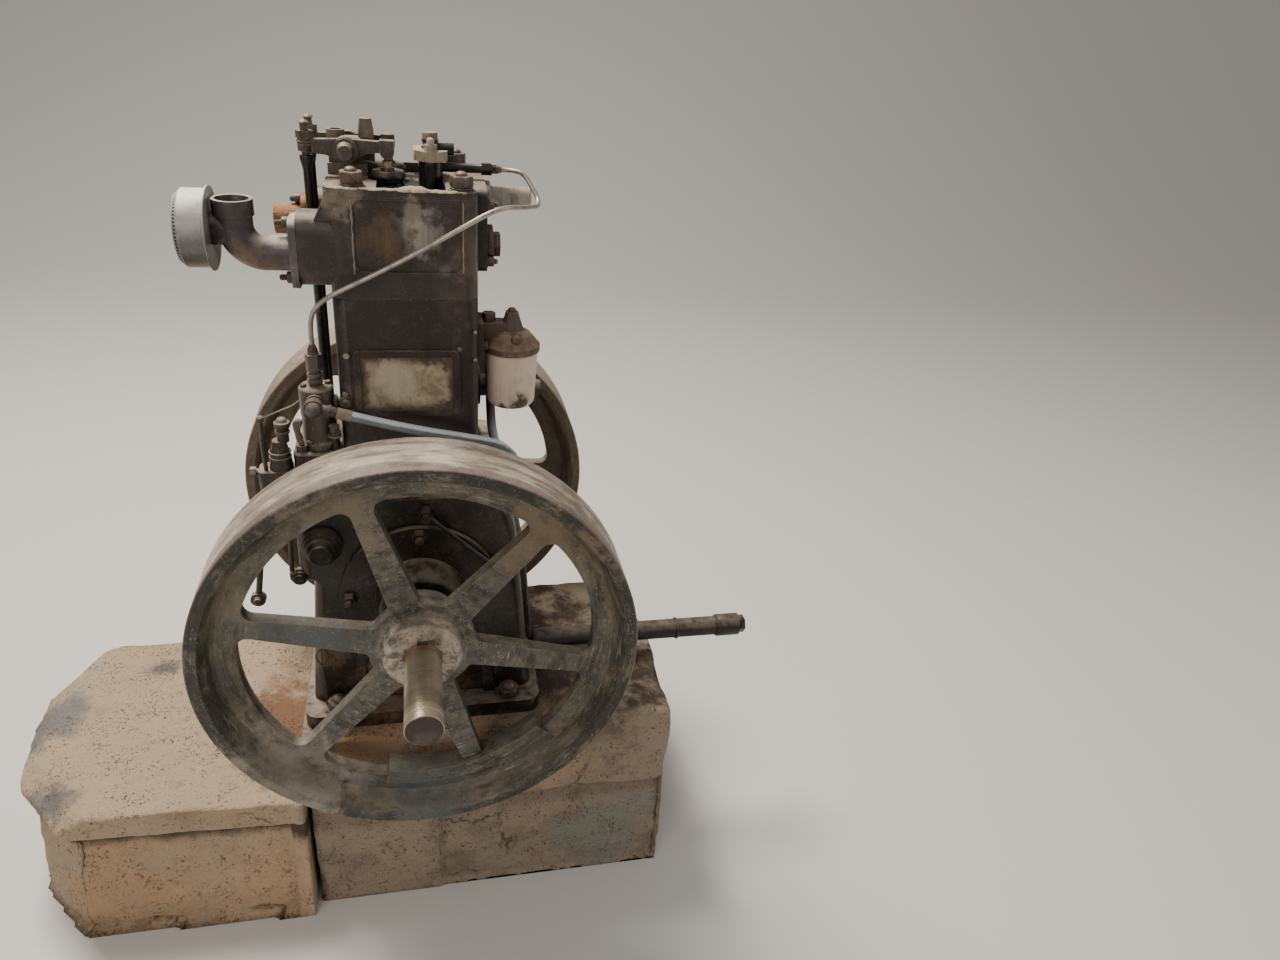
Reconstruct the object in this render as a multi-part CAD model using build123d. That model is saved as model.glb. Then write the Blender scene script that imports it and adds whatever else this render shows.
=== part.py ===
from build123d import *
import math
import os

# Stationary single-cylinder diesel engine with two spoked flywheels on a concrete plinth.
# The origin is on the ground under the cylinder axis. X runs across the engine, Y along the
# crankshaft away from the output end, and Z is up. All sizes are in millimetres.

# Concrete plinth
pier_left = 190
pier_right = 409
pier_depth = 400
pier_height = 365
pier_edge = 6
slab_left = 670
slab_depth = 455
slab_height = 260
slab_batter = 2
slab_joint = 0.3
screed_thick = 46
screed_inset = 3
slab_breaks = [(-610, -40, 40, 0), (-560, -130, 34, 38), (-605, 150, 45, -25)]

# Crankcase and its feet
crank_above_base = 225
casing_height = 385
casing_top_width = 284
casing_base_width = 345
casing_waist = 153
casing_shoulder = 60
casing_shoulder_width = 20
casing_depth = 270
casing_corner = 18
gallery_left = 172
gallery_low = 52
gallery_slope = 20
gallery_edge = 12
rib_thick = 9
rib_proud = 7
drain_boss_radius = 26
drain_rise = 43
drain_y = -36
drain_pipe_radius = 17
drain_end = 572
side_door_width = 190
side_door_height = 190
side_door_thick = 12
side_door_above_boss = 12
side_door_corner = 20
foot_width = 364
foot_depth = 344
foot_thick = 25
foot_corner = 22
foot_bolt_x = 132
foot_bolt_y = 153
foot_stud_radius = 9
foot_nut = 30
foot_nut_high = 16

# Cylinder block and head
block_width = 176
block_depth = 210
block_height = 284
block_corner = 16
block_foot_proud = 10
block_foot_high = 20
gasket_thick = 2
gasket_gap = 0.05
head_height = 139
head_flange = 26
head_body_inset = 6
head_panel_half = 67
head_panel_low = 35
head_panel_deep = 3
lip_reach = 101.5
lip_thick = 10
lip_proud = 1.5
deck_sink = 13
deck_rim = 12
deck_left = -38
deck_right = 48
column_radius = 17.5
column_wall = 1.5
column_inset = 3
column_above = 1
port_reach = 52
port_low = 11
port_high = 104
port_inner = 42
port_corner = 24
port_shoulder = 15
side_plate_thick = 23
side_plate_corner = 12
door_width = 141
door_height = 95
door_low = 120
door_frame = 9
door_proud = 5
door_thick = 4
door_centre_x = -8
column_nut = 27
column_nut_high = 16.5
column_stud_radius = 8
plug_radius = 26
plug_thick = 9
plug_hex = 30
plug_hex_high = 10
plug_y = -34
plug_rise = 32
outlet_radius = 14
outlet_flange_radius = 21
outlet_flange_thick = 7
outlet_length = 64
outlet_below_top = 24
inlet_y = 44
inlet_z = 262
inlet_radius = 17
inlet_flange_radius = 30
inlet_flange_thick = 10
inlet_run = 62
inlet_length = 103
inlet_turn = 14

# Valve gear
rocker_x = -75
rocker_rise = 33
rocker_y = 27
rocker_thick = 17
rocker_web = 11
rocker_boss_radius = 16
rocker_depth_mid = 13
rocker_top = 11
push_arm = 49
valve_arm = 51
push_boss_radius = 9.5
pad_radius = 9
pad_proud = 9
rocker_shaft_radius = 9
rocker_shaft_length = 112
shaft_washer_radius = 15
shaft_washer_thick = 3
shaft_cap_radius = 10
pedestal_half = 25
pedestal_thick = 14
pedestal_nut_x = 13.5
pedestal_nut_radius = 11.5
pedestal_nut_high = 9
pedestal_leg_x = 24.5
pedestal_leg_radius = 10
pedestal_post_radius = 10.5
pedestal_post_high = 24
pushrod_radius = 5.5
pushrod_y = 25
pushrod_insert = 26
cup_radius = 8.5
cup_high = 18
cup_dish_radius = 6.2
cup_dish_depth = 3
adjuster_radius = 5
adjuster_above = 30
locknut = 19
locknut_high = 9
valve_radius = 4.5
collar_radius = 22.5
collar_thick = 8
spring_radius = 19
spring_wire = 4
spring_turns = 4
pocket_radius = 26
pocket_depth = 26
valve_tip_above = 16
valve_lift = 9
valve_stem_length = 70

# Injector and its pipe
injector_x = 31
injector_radius = 16
injector_seat_depth = 38
injector_above = 22
injector_cap_radius = 9
injector_cap_high = 26
injector_inlet_radius = 6
injector_inlet_end = 118
injector_inlet_rise = 12
injector_inlet_nut = 15
leak_boss_radius = 8
leak_boss_end = 31
clamp_width = 44
clamp_depth = 62
clamp_thick = 13
clamp_corner = 14
clamp_stud_radius = 5
clamp_stud_inset = 9
clamp_nut = 15
injector_pipe_radius = 3.2

# Intake and exhaust
intake_y = -74
intake_rise = 49
intake_pipe_radius = 22
intake_flange_thick = 9
intake_flange_half = 31
intake_flange_low = 40
intake_flange_high = 48
intake_elbow_reach = 74
intake_bend = 34
intake_wall = 2
spigot_top_rise = 116
spigot_bead = 2.5
spigot_bead_high = 20
spigot_open = 45
filter_neck_radius = 20
drum_gap = 4
drum_radius = 48
drum_length = 38
drum_edge = 5
drum_rise = 78
drum_ring_radius = 52
drum_ring_thick = 4
exhaust_y = 74
exhaust_rise = 59
exhaust_radius = 21
exhaust_wall = 3
exhaust_length = 46
exhaust_flange_thick = 8
exhaust_flange_half = 29
exhaust_flange_high = 34
flange_corner = 14

# Tappets, governor and fuel pump
tappet_left = 166
tappet_front = 118
tappet_back = 46
tappet_rise = 68
tappet_inset = 12
tappet_corner = 12
guide_radius = 11
guide_high = 12
pump_x = -131
pump_y = -86
pump_base_radius = 26
pump_base_thick = 9
pump_radius = 22
pump_head_radius = 23
pump_head_high = 40
pump_body_height = 90
pump_neck_radius = 9
pump_neck_height = 26
neck_ribs = 3
union_across = 19
union_height = 22
pump_boss_radius = 9
pump_boss_reach = 36
banjo_rise = 76
banjo_thick = 18
banjo_radius = 12
banjo_head_radius = 10
bracket_end = 214
bracket_back = 84
bracket_high = 26
bracket_top = 200
spring_bell_low = 16
spring_bell_high = 9
spring_bell_top = 243
barrel_radius = 8
barrel_top = 270
governor_x = -184
governor_y = -101
stop_rod_radius = 4.5
stop_rod_top_x = -206
stop_rod_end_x = -238
stop_rod_end_z = -20
stop_eye_radius = 11
cam_cover_x = -136
cam_cover_z = 92
cam_cover_radius = 28
cam_cover_proud = 34
oil_pipe_radius = 3.5
oil_pipe_start = (10, 142)
oil_pipe_mid = (66, 88)
oil_pipe_end = (124, 33)

# Fuel filter and hose
filter_x = 139
filter_y = -40
filter_bowl_radius = 38
filter_bowl_taper = 2
filter_bowl_foot = 9
filter_bowl_height = 88
filter_head_height = 56
filter_lid_thick = 12
filter_base_rise = 266
filter_ear_back = 56
filter_ear_left = 27
filter_arm_half = 13
filter_pad_half = 26
hose_radius = 7
hose_slope = 16.1
hose_tail = 30

# Crankshaft, flywheels and pulley
shaft_radius = 25
journal_radius = 25.5
shaft_reach = 435
shaft_chamfer = 2
wheel_radius = 298.5
wheel_width = 93
wheel_outer_y = 307
rim_inner = 281
rim_root = 267
flange_inner = 241
plate_thick = 23
spoke_count = 6
front_spoke_angle = -12.5
rear_spoke_angle = -0.5
spoke_width_hub = 43
spoke_width_rim = 27.5
spoke_fillet_rim = 15
spoke_fillet_hub = 9
web_radius = 73
hub_radius = 54
hub_outer_y = 294
hub_inner_y = 204
key_width = 14
key_height = 9
key_length = 82
weight_depth = 16
weight_width = 36
weight_start = 256
weight_angle = 60
pulley_radius = 118
pulley_width = 46
pulley_groove = 14
pulley_hub_radius = 42
pulley_clear = 28
bearing_flange_radius = 118
bearing_flange_thick = 10
bearing_neck_radius = 66
bearing_neck_draft = 5
bearing_reach = 58
bearing_bolt_circle = 104
bearing_bolt = 19
bearing_bolt_high = 11

# Fits
running_fit = 0.05
seat_fit = 0.03
seat_gap = 0.3
shaft_tunnel_clear = 6

# Levels worked out from the sizes above
base_z = pier_height
crank_z = base_z + crank_above_base
casing_top = base_z + casing_height
block_top = casing_top + block_height
head_base = block_top + gasket_thick
head_top = head_base + head_height
rocker_z = head_top + rocker_rise
casing_front = casing_depth / 2
block_front = block_depth / 2
block_left = block_width / 2 + tappet_inset - seat_fit
side_plate_half = block_front - 2 * column_radius - 2
column_x = block_width / 2 - column_inset - column_radius
column_y = block_depth / 2 - column_radius - column_wall
head_side = block_width / 2 - column_inset
side_face = head_side - head_body_inset + seat_fit + side_plate_thick + seat_fit
port_face = -head_side - port_reach - seat_fit
pushrod_x = rocker_x - push_arm
valve_x = rocker_x + valve_arm
ball_low = rocker_z - pad_radius - adjuster_radius + 2
tappet_top = casing_top + tappet_rise
pump_low = tappet_top + seat_fit
pump_top = pump_low + pump_body_height + pump_neck_height
banjo_y = pump_y - pump_boss_reach - banjo_thick / 2
banjo_z = pump_low + banjo_rise
filter_base_z = crank_z + filter_base_rise
filter_union_z = filter_base_z + filter_bowl_height - filter_bowl_foot
ear_x = filter_x - filter_ear_left
ear_y = filter_y + filter_ear_back
wheel_middle = wheel_outer_y - wheel_width / 2
pulley_inner_y = hub_outer_y + pulley_clear


def save(shape, name):
    export_step(shape, "parts/" + name + ".step")


def along_x(radius, x0, x1, y, z):
    return Pos((x0 + x1) / 2, y, z) * Rot(0, 90, 0) * Cylinder(radius, abs(x1 - x0))


def along_y(radius, y0, y1, x, z):
    return Pos(x, (y0 + y1) / 2, z) * Rot(90, 0, 0) * Cylinder(radius, abs(y1 - y0))


def along_z(radius, z0, z1, x, y):
    return Pos(x, y, (z0 + z1) / 2) * Cylinder(radius, abs(z1 - z0))


def block(x0, x1, y0, y1, z0, z1):
    middle = Pos((x0 + x1) / 2, (y0 + y1) / 2, (z0 + z1) / 2)
    return middle * Box(abs(x1 - x0), abs(y1 - y0), abs(z1 - z0))


def hexagon(across):
    return RegularPolygon(across / 2, 6, major_radius=False)


def hexagon_z(across, z0, z1, x, y):
    return extrude(Pos(x, y, z0) * hexagon(across), z1 - z0)


def hexagon_x(across, x0, x1, y, z):
    plane = Plane(origin=(x0, y, z), x_dir=(0, 1, 0), z_dir=(1, 0, 0))
    return extrude(plane * hexagon(across), x1 - x0)


def hexagon_y(across, y0, y1, x, z):
    plane = Plane(origin=(x, y0, z), x_dir=(1, 0, 0), z_dir=(0, 1, 0))
    return extrude(plane * hexagon(across), y1 - y0)


def front_face(points, y0, y1):
    outline = make_face(Polyline([(x, 0, z) for x, z in points], close=True))
    solid = extrude(outline, abs(y1 - y0), dir=(0, 1, 0))
    return Pos(0, min(y0, y1), 0) * solid


def turned_about_y(points, x, z):
    face = make_face(Polyline([(r, y, 0) for r, y in points], close=True))
    return Pos(x, 0, z) * revolve(face, Axis.Y)


def turned_about_x(points, y, z):
    face = make_face(Polyline([(x, r, 0) for x, r in points], close=True))
    return Pos(0, y, z) * revolve(face, Axis.X)


def turned_about_z(points, x, y):
    face = make_face(Polyline([(r, 0, z) for r, z in points], close=True))
    return Pos(x, y, 0) * revolve(face, Axis.Z)


# A dome on a flat end, cut from a ball that stands above the face by the dome's height
def dome_z(radius, height, z, x, y):
    ball = (radius**2 + height**2) / (2 * height)
    cap = Pos(x, y, z + height - ball) * Sphere(ball)
    return cap & along_z(radius, z, z + height + 1, x, y)


def dome_front(radius, height, y, x, z):
    ball = (radius**2 + height**2) / (2 * height)
    cap = Pos(x, y - height + ball, z) * Sphere(ball)
    return cap & along_y(radius, y - height - 1, y, x, z)


# The pier under the engine, cast in place
def plinth_block():
    half = pier_depth / 2
    pier = block(-pier_left, pier_right, -half, half, 0, pier_height)
    return chamfer(pier.edges().group_by(Axis.Z)[-1], pier_edge)


# Plan of the lower slab, which runs on past the joint until that end is cut straight
def slab_outline(inset):
    half = slab_depth / 2 - inset
    right = slab_batter * 10 - pier_left
    left = inset - slab_left
    points = [
        (right, half * 0.96),
        (left * 0.62, half),
        (left * 0.98, half),
        (left, half * 0.36),
        (left * 0.95, -half * 0.45),
        (left * 0.82, -half * 0.93),
        (right, -half),
    ]
    return Polygon(*points, align=None)


# What has broken off the slab beyond a slope that falls away from one point of its top
def broken_piece(x, y, slope, turn):
    fall = math.sin(math.radians(slope))
    away_x = -fall * math.cos(math.radians(turn))
    away_y = -fall * math.sin(math.radians(turn))
    outward = (away_x, away_y, math.cos(math.radians(slope)))
    face = Plane(origin=(x, y, slab_height), z_dir=outward)
    return face * Pos(0, 0, slab_height / 2) * Box(2 * slab_depth, 2 * slab_depth, slab_height)


# The lower slab beside the pier, with an overhanging screed and its outer end broken off
def lower_slab():
    under = slab_height - screed_thick
    body = extrude(slab_outline(0), under, taper=2 * slab_batter)
    screed = extrude(Plane.XY.offset(under) * slab_outline(screed_inset), screed_thick, taper=slab_batter)
    slab = body + screed
    slab -= block(-pier_left - slab_joint, 0, -slab_depth, slab_depth, -1, slab_height + 1)
    for x, y, slope, turn in slab_breaks:
        slab -= broken_piece(x, y, slope, turn)
    return slab


# Four studs cast into the pier, with their nuts on the feet
def foundation_bolts():
    studs = []
    top = base_z + foot_thick
    for x in (-foot_bolt_x, foot_bolt_x):
        for y in (-foot_bolt_y, foot_bolt_y):
            nut = hexagon_z(foot_nut, top + seat_gap, top + foot_nut_high, x, y)
            nut += along_z(foot_stud_radius, top, top + foot_nut_high + foot_stud_radius, x, y)
            studs.append(nut)
    return Compound(children=studs)


# Crankcase casting with flared sides, feet, front ribs and a tunnel for the shaft
def crankcase():
    top = casing_top_width / 2
    base = casing_base_width / 2
    points = [
        (-base, base_z),
        (-casing_waist, crank_z + gallery_low - gallery_slope),
        (-gallery_left, crank_z + gallery_low),
        (-gallery_left, casing_top - gallery_edge),
        (-gallery_left + gallery_edge, casing_top),
        (top - casing_shoulder_width, casing_top),
        (top, casing_top - casing_shoulder),
        (base, base_z),
    ]
    body = front_face(points, -casing_front, casing_front)
    upright = body.edges().filter_by(lambda edge: abs(edge.tangent_at(0.5).Z) > 0.8)
    body = fillet(upright, casing_corner)
    half_x = foot_width / 2
    half_y = foot_depth / 2
    foot = block(-half_x, half_x, -half_y, half_y, base_z, base_z + foot_thick)
    body += fillet(foot.edges().filter_by(Axis.Z), foot_corner)
    for side in (-1, 1):
        body += casing_ribs(side)
    body += along_x(drain_boss_radius, top, base + seat_gap, drain_y, base_z + drain_rise)
    reach = casing_depth
    return body - along_y(shaft_radius + shaft_tunnel_clear, -reach, reach, 0, crank_z)


# Slanted stiffening ribs that run from the bearing down to the feet on one end face
def casing_ribs(side):
    low = base_z + foot_thick - 1
    high = crank_z - bearing_flange_radius * 0.5
    y0 = side * (casing_front - 1)
    y1 = side * (casing_front + rib_proud)
    ribs = []
    for lean in (-1, 1):
        foot_x = lean * (foot_bolt_x - foot_nut)
        head_x = lean * bearing_flange_radius * 0.75
        points = [
            (foot_x - rib_thick, low),
            (foot_x + rib_thick, low),
            (head_x + rib_thick / 2, high),
            (head_x - rib_thick / 2, high),
        ]
        ribs.append(front_face(points, y0, y1))
    return ribs


# Bolted bearing housing on one end of the crankcase
def bearing_housing(side):
    face = casing_front + seat_fit
    flange = face + bearing_flange_thick
    bore = journal_radius + running_fit
    points = [
        (bore, face),
        (bearing_neck_radius, face),
        (bearing_neck_radius, flange),
        (bearing_neck_radius - bearing_neck_draft, face + bearing_reach - bearing_neck_draft),
        (bearing_neck_radius - 2 * bearing_neck_draft, face + bearing_reach),
        (bore, face + bearing_reach),
    ]
    housing = turned_about_y([(r, side * y) for r, y in points], 0, crank_z)
    low_rib = crank_z - bearing_flange_radius * 0.5 + seat_gap
    plate = along_y(bearing_flange_radius, side * face, side * flange, 0, crank_z)
    size = 2 * bearing_flange_radius
    cut = block(-size, size, side * (face - 1), side * (flange + 1), crank_z - size, low_rib)
    housing += plate - cut - along_y(bore, side * (face - 1), side * (flange + 1), 0, crank_z)
    for angle in (0, 90, 180):
        x = bearing_bolt_circle * math.cos(math.radians(angle))
        z = crank_z + bearing_bolt_circle * math.sin(math.radians(angle))
        head = sorted((side * flange, side * (flange + bearing_bolt_high)))
        housing += hexagon_y(bearing_bolt, head[0], head[1], x, z)
    return housing


# Water-jacketed cylinder block with the frame of its front door
def cylinder_block():
    half = block_width / 2
    body = block(-block_left, half, -block_front, block_front, casing_top, block_top)
    body = fillet(body.edges().filter_by(Axis.Z), block_corner)
    foot_x = half + block_foot_proud
    foot_y = block_front + block_foot_proud
    foot = block(-foot_x, foot_x, -foot_y, foot_y, casing_top, casing_top + block_foot_high)
    body += fillet(foot.edges().filter_by(Axis.Z), block_corner)
    low = casing_top + door_low
    left = door_centre_x - door_width / 2
    right = door_centre_x + door_width / 2
    front = -block_front - door_proud
    frame = block(left, right, front, -block_front + 1, low, low + door_height)
    frame = fillet(frame.edges().filter_by(Axis.Y), door_frame)
    inner = block(
        left + door_frame,
        right - door_frame,
        front - 1,
        -block_front,
        low + door_frame,
        low + door_height - door_frame,
    )
    return body + frame - inner


# Thin cover plate inside the frame of the water jacket
def jacket_door():
    low = casing_top + door_low
    inset = door_frame + seat_gap
    left = door_centre_x - door_width / 2 + inset
    right = door_centre_x + door_width / 2 - inset
    back = -block_front - seat_gap
    plate = block(left, right, back - door_thick, back, low + inset, low + door_height - inset)
    return fillet(plate.edges().filter_by(Axis.Y), door_frame)


# Sheet gasket between block and head
def head_gasket():
    left = 1 - block_left
    right = block_width / 2 - 1
    low = block_top + gasket_gap
    high = head_base - gasket_gap
    sheet = block(left, right, -block_front + 1, block_front - 1, low, high)
    return fillet(sheet.edges().filter_by(Axis.Z), block_corner)


# Cylinder head with a sunk deck for valves and injector, sunk panels and port blocks
def cylinder_head():
    side = head_side - head_body_inset
    half = block_width / 2
    front = block_front
    edge = front + lip_proud
    body = block(-block_left, half, -front, front, head_base, head_top - 1)
    lip = block(-lip_reach, half, -edge, edge, head_top - lip_thick, head_top)
    body = fillet(body.edges().filter_by(Axis.Z), block_corner)
    body += fillet(lip.edges().filter_by(Axis.Z), block_corner)
    reach = side_plate_half + seat_gap
    body -= block(side, half + 1, -reach, reach, head_base + head_flange, head_top + 1)
    for x in (-column_x, column_x):
        for y in (-column_y, column_y):
            body += along_z(column_radius, head_top - 2, head_top + column_above, x, y)
    for sign in (-1, 1):
        body -= head_panel(sign * front)
        low = head_base + port_low
        high = head_base + port_high
        y0 = sign * port_inner
        y1 = sign * (block_front - 1)
        port = block(-head_side - port_reach, -side + 4, y0, y1, low, high)
        body += fillet(port.edges().filter_by(Axis.X), port_corner)
        body += shoulder_over_port(sign * (port_inner + 2), sign * (block_front - 3))
    rim = front - deck_rim
    body -= block(deck_left, deck_right, -rim, rim, head_top - deck_sink, head_top + 5)
    guide_depth = valve_stem_length - valve_tip_above + valve_lift + head_body_inset
    for y in (-rocker_y, rocker_y):
        body -= along_z(pocket_radius, head_top - pocket_depth, head_top + 5, valve_x, y)
        bore = valve_radius + running_fit
        body -= along_z(bore, head_top - guide_depth, head_top, valve_x, y)
    seat = injector_radius + seat_fit
    return body - along_z(seat, head_top - injector_seat_depth - 2, head_top + 5, injector_x, 0)


# Sloping web that carries the edge of the top plate over one port
def shoulder_over_port(y0, y1):
    root = lip_thick / 2 + head_body_inset - head_side
    high = head_top - lip_thick / 2
    under = head_top - lip_thick - 2
    port_top = head_base + port_high - port_corner / 4
    points = [
        (root, high),
        (2 - lip_reach, high),
        (2 - lip_reach, under),
        (2 - lip_reach - port_shoulder, port_top),
        (root, port_top),
    ]
    web = Plane.XZ * Polygon(*points, align=None)
    return extrude(web, y1 - y0, dir=(0, 1, 0)).translate((0, y0, 0))


# Rounded panel sunk into one end face of the head, under the top plate
def head_panel(face_y):
    half = head_panel_half
    low = head_base + head_panel_low
    high = head_top - lip_thick - head_panel_deep
    y0 = face_y - head_panel_deep
    y1 = face_y + head_panel_deep
    panel = block(-half, half, y0, y1, low, high)
    return fillet(panel.edges().filter_by(Axis.Y), side_plate_corner)


# Cover plate on the far side of the ports, with its round plug
def head_side_plate():
    x0 = head_side - head_body_inset + seat_fit
    x1 = x0 + side_plate_thick
    low = head_base + head_flange + seat_gap
    plate = block(x0, x1, -side_plate_half, side_plate_half, low, head_top - 2)
    return fillet(plate.edges().filter_by(Axis.X), side_plate_corner)


def chamber_plug():
    z = head_base + head_flange + plug_rise
    outer = side_face + plug_thick
    plug = along_x(plug_radius, side_face, outer, plug_y, z)
    return plug + hexagon_x(plug_hex, outer, outer + plug_hex_high, plug_y, z)


# Plain stub that the cooling water leaves by
def water_outlet():
    z = head_top - outlet_below_top
    end = side_face + outlet_length
    collar = side_face + outlet_flange_thick
    points = [
        (side_face, 0),
        (side_face, outlet_flange_radius),
        (collar, outlet_flange_radius),
        (collar + 2, outlet_radius),
        (end - 2, outlet_radius),
        (end, outlet_radius - 2),
        (end, 0),
    ]
    return turned_about_x(points, 0, z)


# Nuts and domed stud ends on the columns of the head
def head_nuts():
    nuts = []
    base = head_top + column_above + seat_gap
    top = base + column_nut_high
    for x in (-column_x, column_x):
        for y in (-column_y, column_y):
            nut = hexagon_z(column_nut, base, top, x, y)
            nut = nut & along_z(column_nut * 0.56, base, top, x, y)
            nut += along_z(column_nut * 0.58, base, base + 2, x, y)
            nuts.append(nut + dome_z(column_stud_radius, column_stud_radius * 0.7, top, x, y))
    return Compound(children=nuts)


# Bracket between the rockers, held by two studs: a short tube nut and a tapered post
def rocker_pedestal():
    half_y = rocker_y - rocker_thick / 2 - 1.5
    left = rocker_x - pedestal_half
    right = rocker_x + pedestal_half
    top = rocker_z + rocker_shaft_radius + 3
    body = block(left, right, -half_y, half_y, head_top + seat_gap, head_top + pedestal_thick)
    tower = block(left + 2, right - 2, 4 - half_y, half_y - 4, head_top + pedestal_thick - 2, top)
    tower = fillet(tower.edges().filter_by(Axis.Y).group_by(Axis.Z)[-1], rocker_shaft_radius)
    body += tower
    body -= along_y(rocker_shaft_radius + seat_fit, -rocker_y, rocker_y, rocker_x, rocker_z)
    nut_x = rocker_x - pedestal_nut_x
    nut_top = top + pedestal_nut_high
    nut = along_z(pedestal_nut_radius, top - 3, nut_top, nut_x, 0)
    nut -= along_z(pedestal_nut_radius - 3.5, nut_top - 5, nut_top + 1, nut_x, 0)
    foot = head_top + seat_gap
    post_top = top + pedestal_post_high
    post_points = [
        (0, foot),
        (pedestal_leg_radius, foot),
        (pedestal_leg_radius, top - 1),
        (pedestal_post_radius, top),
        (pedestal_post_radius - 1, top + pedestal_post_high / 2),
        (pedestal_post_radius - 3, post_top),
        (0, post_top),
    ]
    return body + nut + turned_about_z(post_points, rocker_x + pedestal_leg_x, 0)


# Shaft that carries both rockers, with a washer and a domed cap nut at each end
def rocker_shaft():
    half = rocker_shaft_length / 2
    shaft = along_y(rocker_shaft_radius, -half, half, rocker_x, rocker_z)
    inner = rocker_y + rocker_thick / 2 + 2
    outer = inner + shaft_washer_thick
    for side in (-1, 1):
        shaft += along_y(shaft_washer_radius, side * inner, side * outer, rocker_x, rocker_z)
        cap = [(0, outer), (shaft_cap_radius + 2, outer)]
        for turn in range(7):
            angle = math.radians(15 * turn)
            radius = shaft_cap_radius * math.cos(angle)
            cap.append((radius, outer + 5 + shaft_cap_radius * math.sin(angle)))
        shaft += turned_about_y([(r, side * y) for r, y in cap], rocker_x, rocker_z)
    return shaft


# Forged rocker with a screw over the pushrod, which ends in a ball
def rocker(side):
    y = side * rocker_y
    half = rocker_thick / 2
    flat = rocker_z + rocker_top
    outline = [
        (pushrod_x, flat),
        (pushrod_x, rocker_z - 5),
        (pushrod_x + push_arm / 2, rocker_z - 7),
        (rocker_x - 6, rocker_z - rocker_depth_mid),
        (rocker_x + 6, rocker_z - rocker_depth_mid),
        (valve_x - valve_arm / 2, rocker_z - 3),
        (valve_x, rocker_z - 1),
        (valve_x, flat + 1),
        (rocker_x + 10, flat + 2),
        (rocker_x - 10, flat + 2),
    ]
    body = front_face(outline, y - rocker_web / 2, y + rocker_web / 2)
    body += along_y(rocker_boss_radius, y - half, y + half, rocker_x, rocker_z)
    ball = ball_low + adjuster_radius
    boss_low = ball + adjuster_radius * 0.7
    body += along_z(push_boss_radius, boss_low, flat + 1, pushrod_x, y)
    body += along_y(pad_radius, y - half + 1, y + half - 1, valve_x, rocker_z)
    body += block(valve_x - pad_proud, valve_x + pad_proud, y - half + 1, y + half - 1, rocker_z, flat + 3)
    body -= along_y(rocker_shaft_radius + running_fit, y - half - 1, y + half + 1, rocker_x, rocker_z)
    body += along_z(adjuster_radius, ball, rocker_z + adjuster_above, pushrod_x, y)
    body += Pos(pushrod_x, y, ball) * Sphere(adjuster_radius)
    body += hexagon_z(locknut, flat + 1, flat + 1 + locknut_high, pushrod_x, y)
    return body + dome_z(adjuster_radius + 2, 4, rocker_z + adjuster_above, pushrod_x, y)


# Pushrod with a flared cup under the ball of the rocker's screw
def pushrod(side):
    y = side * pushrod_y
    dish_low = ball_low - seat_gap
    top = dish_low + cup_dish_depth
    low = tappet_top - pushrod_insert
    points = [
        (0, low),
        (pushrod_radius, low),
        (pushrod_radius, top - cup_high),
        (cup_radius, top - cup_high / 4),
        (cup_radius, top),
        (0, top),
    ]
    rod = turned_about_z(points, pushrod_x, y)
    return rod - Pos(pushrod_x, side * rocker_y, dish_low + cup_dish_radius) * Sphere(cup_dish_radius)


# Valve with its spring collar
def valve(side):
    y = side * rocker_y
    tip = rocker_z - pad_radius - seat_gap
    low = head_top + valve_tip_above - valve_stem_length
    stem = along_z(valve_radius, low, tip, valve_x, y)
    collar_low = head_top + 2
    collar_top = collar_low + collar_thick
    points = [
        (0, collar_low),
        (collar_radius, collar_low),
        (collar_radius, collar_low + 3),
        (collar_radius - 3, collar_top),
        (9, collar_top),
        (8, collar_top + 3),
        (0, collar_top + 3),
    ]
    return stem + turned_about_z(points, valve_x, y)


# Coil spring under the collar, as a sleeve with one swelling for each turn
def valve_spring(side):
    y = side * rocker_y
    low = head_top - pocket_depth + seat_gap
    high = head_top + 2 - seat_gap
    pitch = (high - low) / spring_turns
    half_wire = spring_wire / 2
    middle = spring_radius - half_wire
    outer = []
    inner = []
    for turn in range(spring_turns):
        base = low + turn * pitch
        for share, swell in ((0.0, 0.0), (0.25, 0.85), (0.5, 1.0), (0.75, 0.85)):
            level = base + share * pitch
            outer.append((middle + half_wire * swell, level))
            inner.append((middle - half_wire * swell - 0.5, level))
    outer.append((middle, high))
    inner.append((middle - 0.5, high))
    return turned_about_z(outer + inner[::-1], valve_x, y)


# Injector standing in the head, with its side inlet and leak-off boss
def injector():
    z = head_top + injector_inlet_rise
    shoulder = head_top + injector_above
    cap_top = shoulder + injector_cap_high
    body = along_z(injector_radius, head_top - injector_seat_depth, shoulder, injector_x, 0)
    body += along_z(injector_cap_radius, shoulder, cap_top, injector_x, 0)
    body += along_z(injector_cap_radius + 2, cap_top - 4, cap_top - 1, injector_x, 0)
    body += along_x(injector_inlet_radius, injector_x, injector_inlet_end, 0, z)
    nut_end = injector_inlet_end - injector_inlet_radius
    body += hexagon_x(injector_inlet_nut, nut_end - 14, nut_end, 0, z)
    leak_z = cap_top - leak_boss_radius - 5
    body += along_x(leak_boss_radius, injector_x, injector_x + leak_boss_end, 0, leak_z)
    return body


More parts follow.
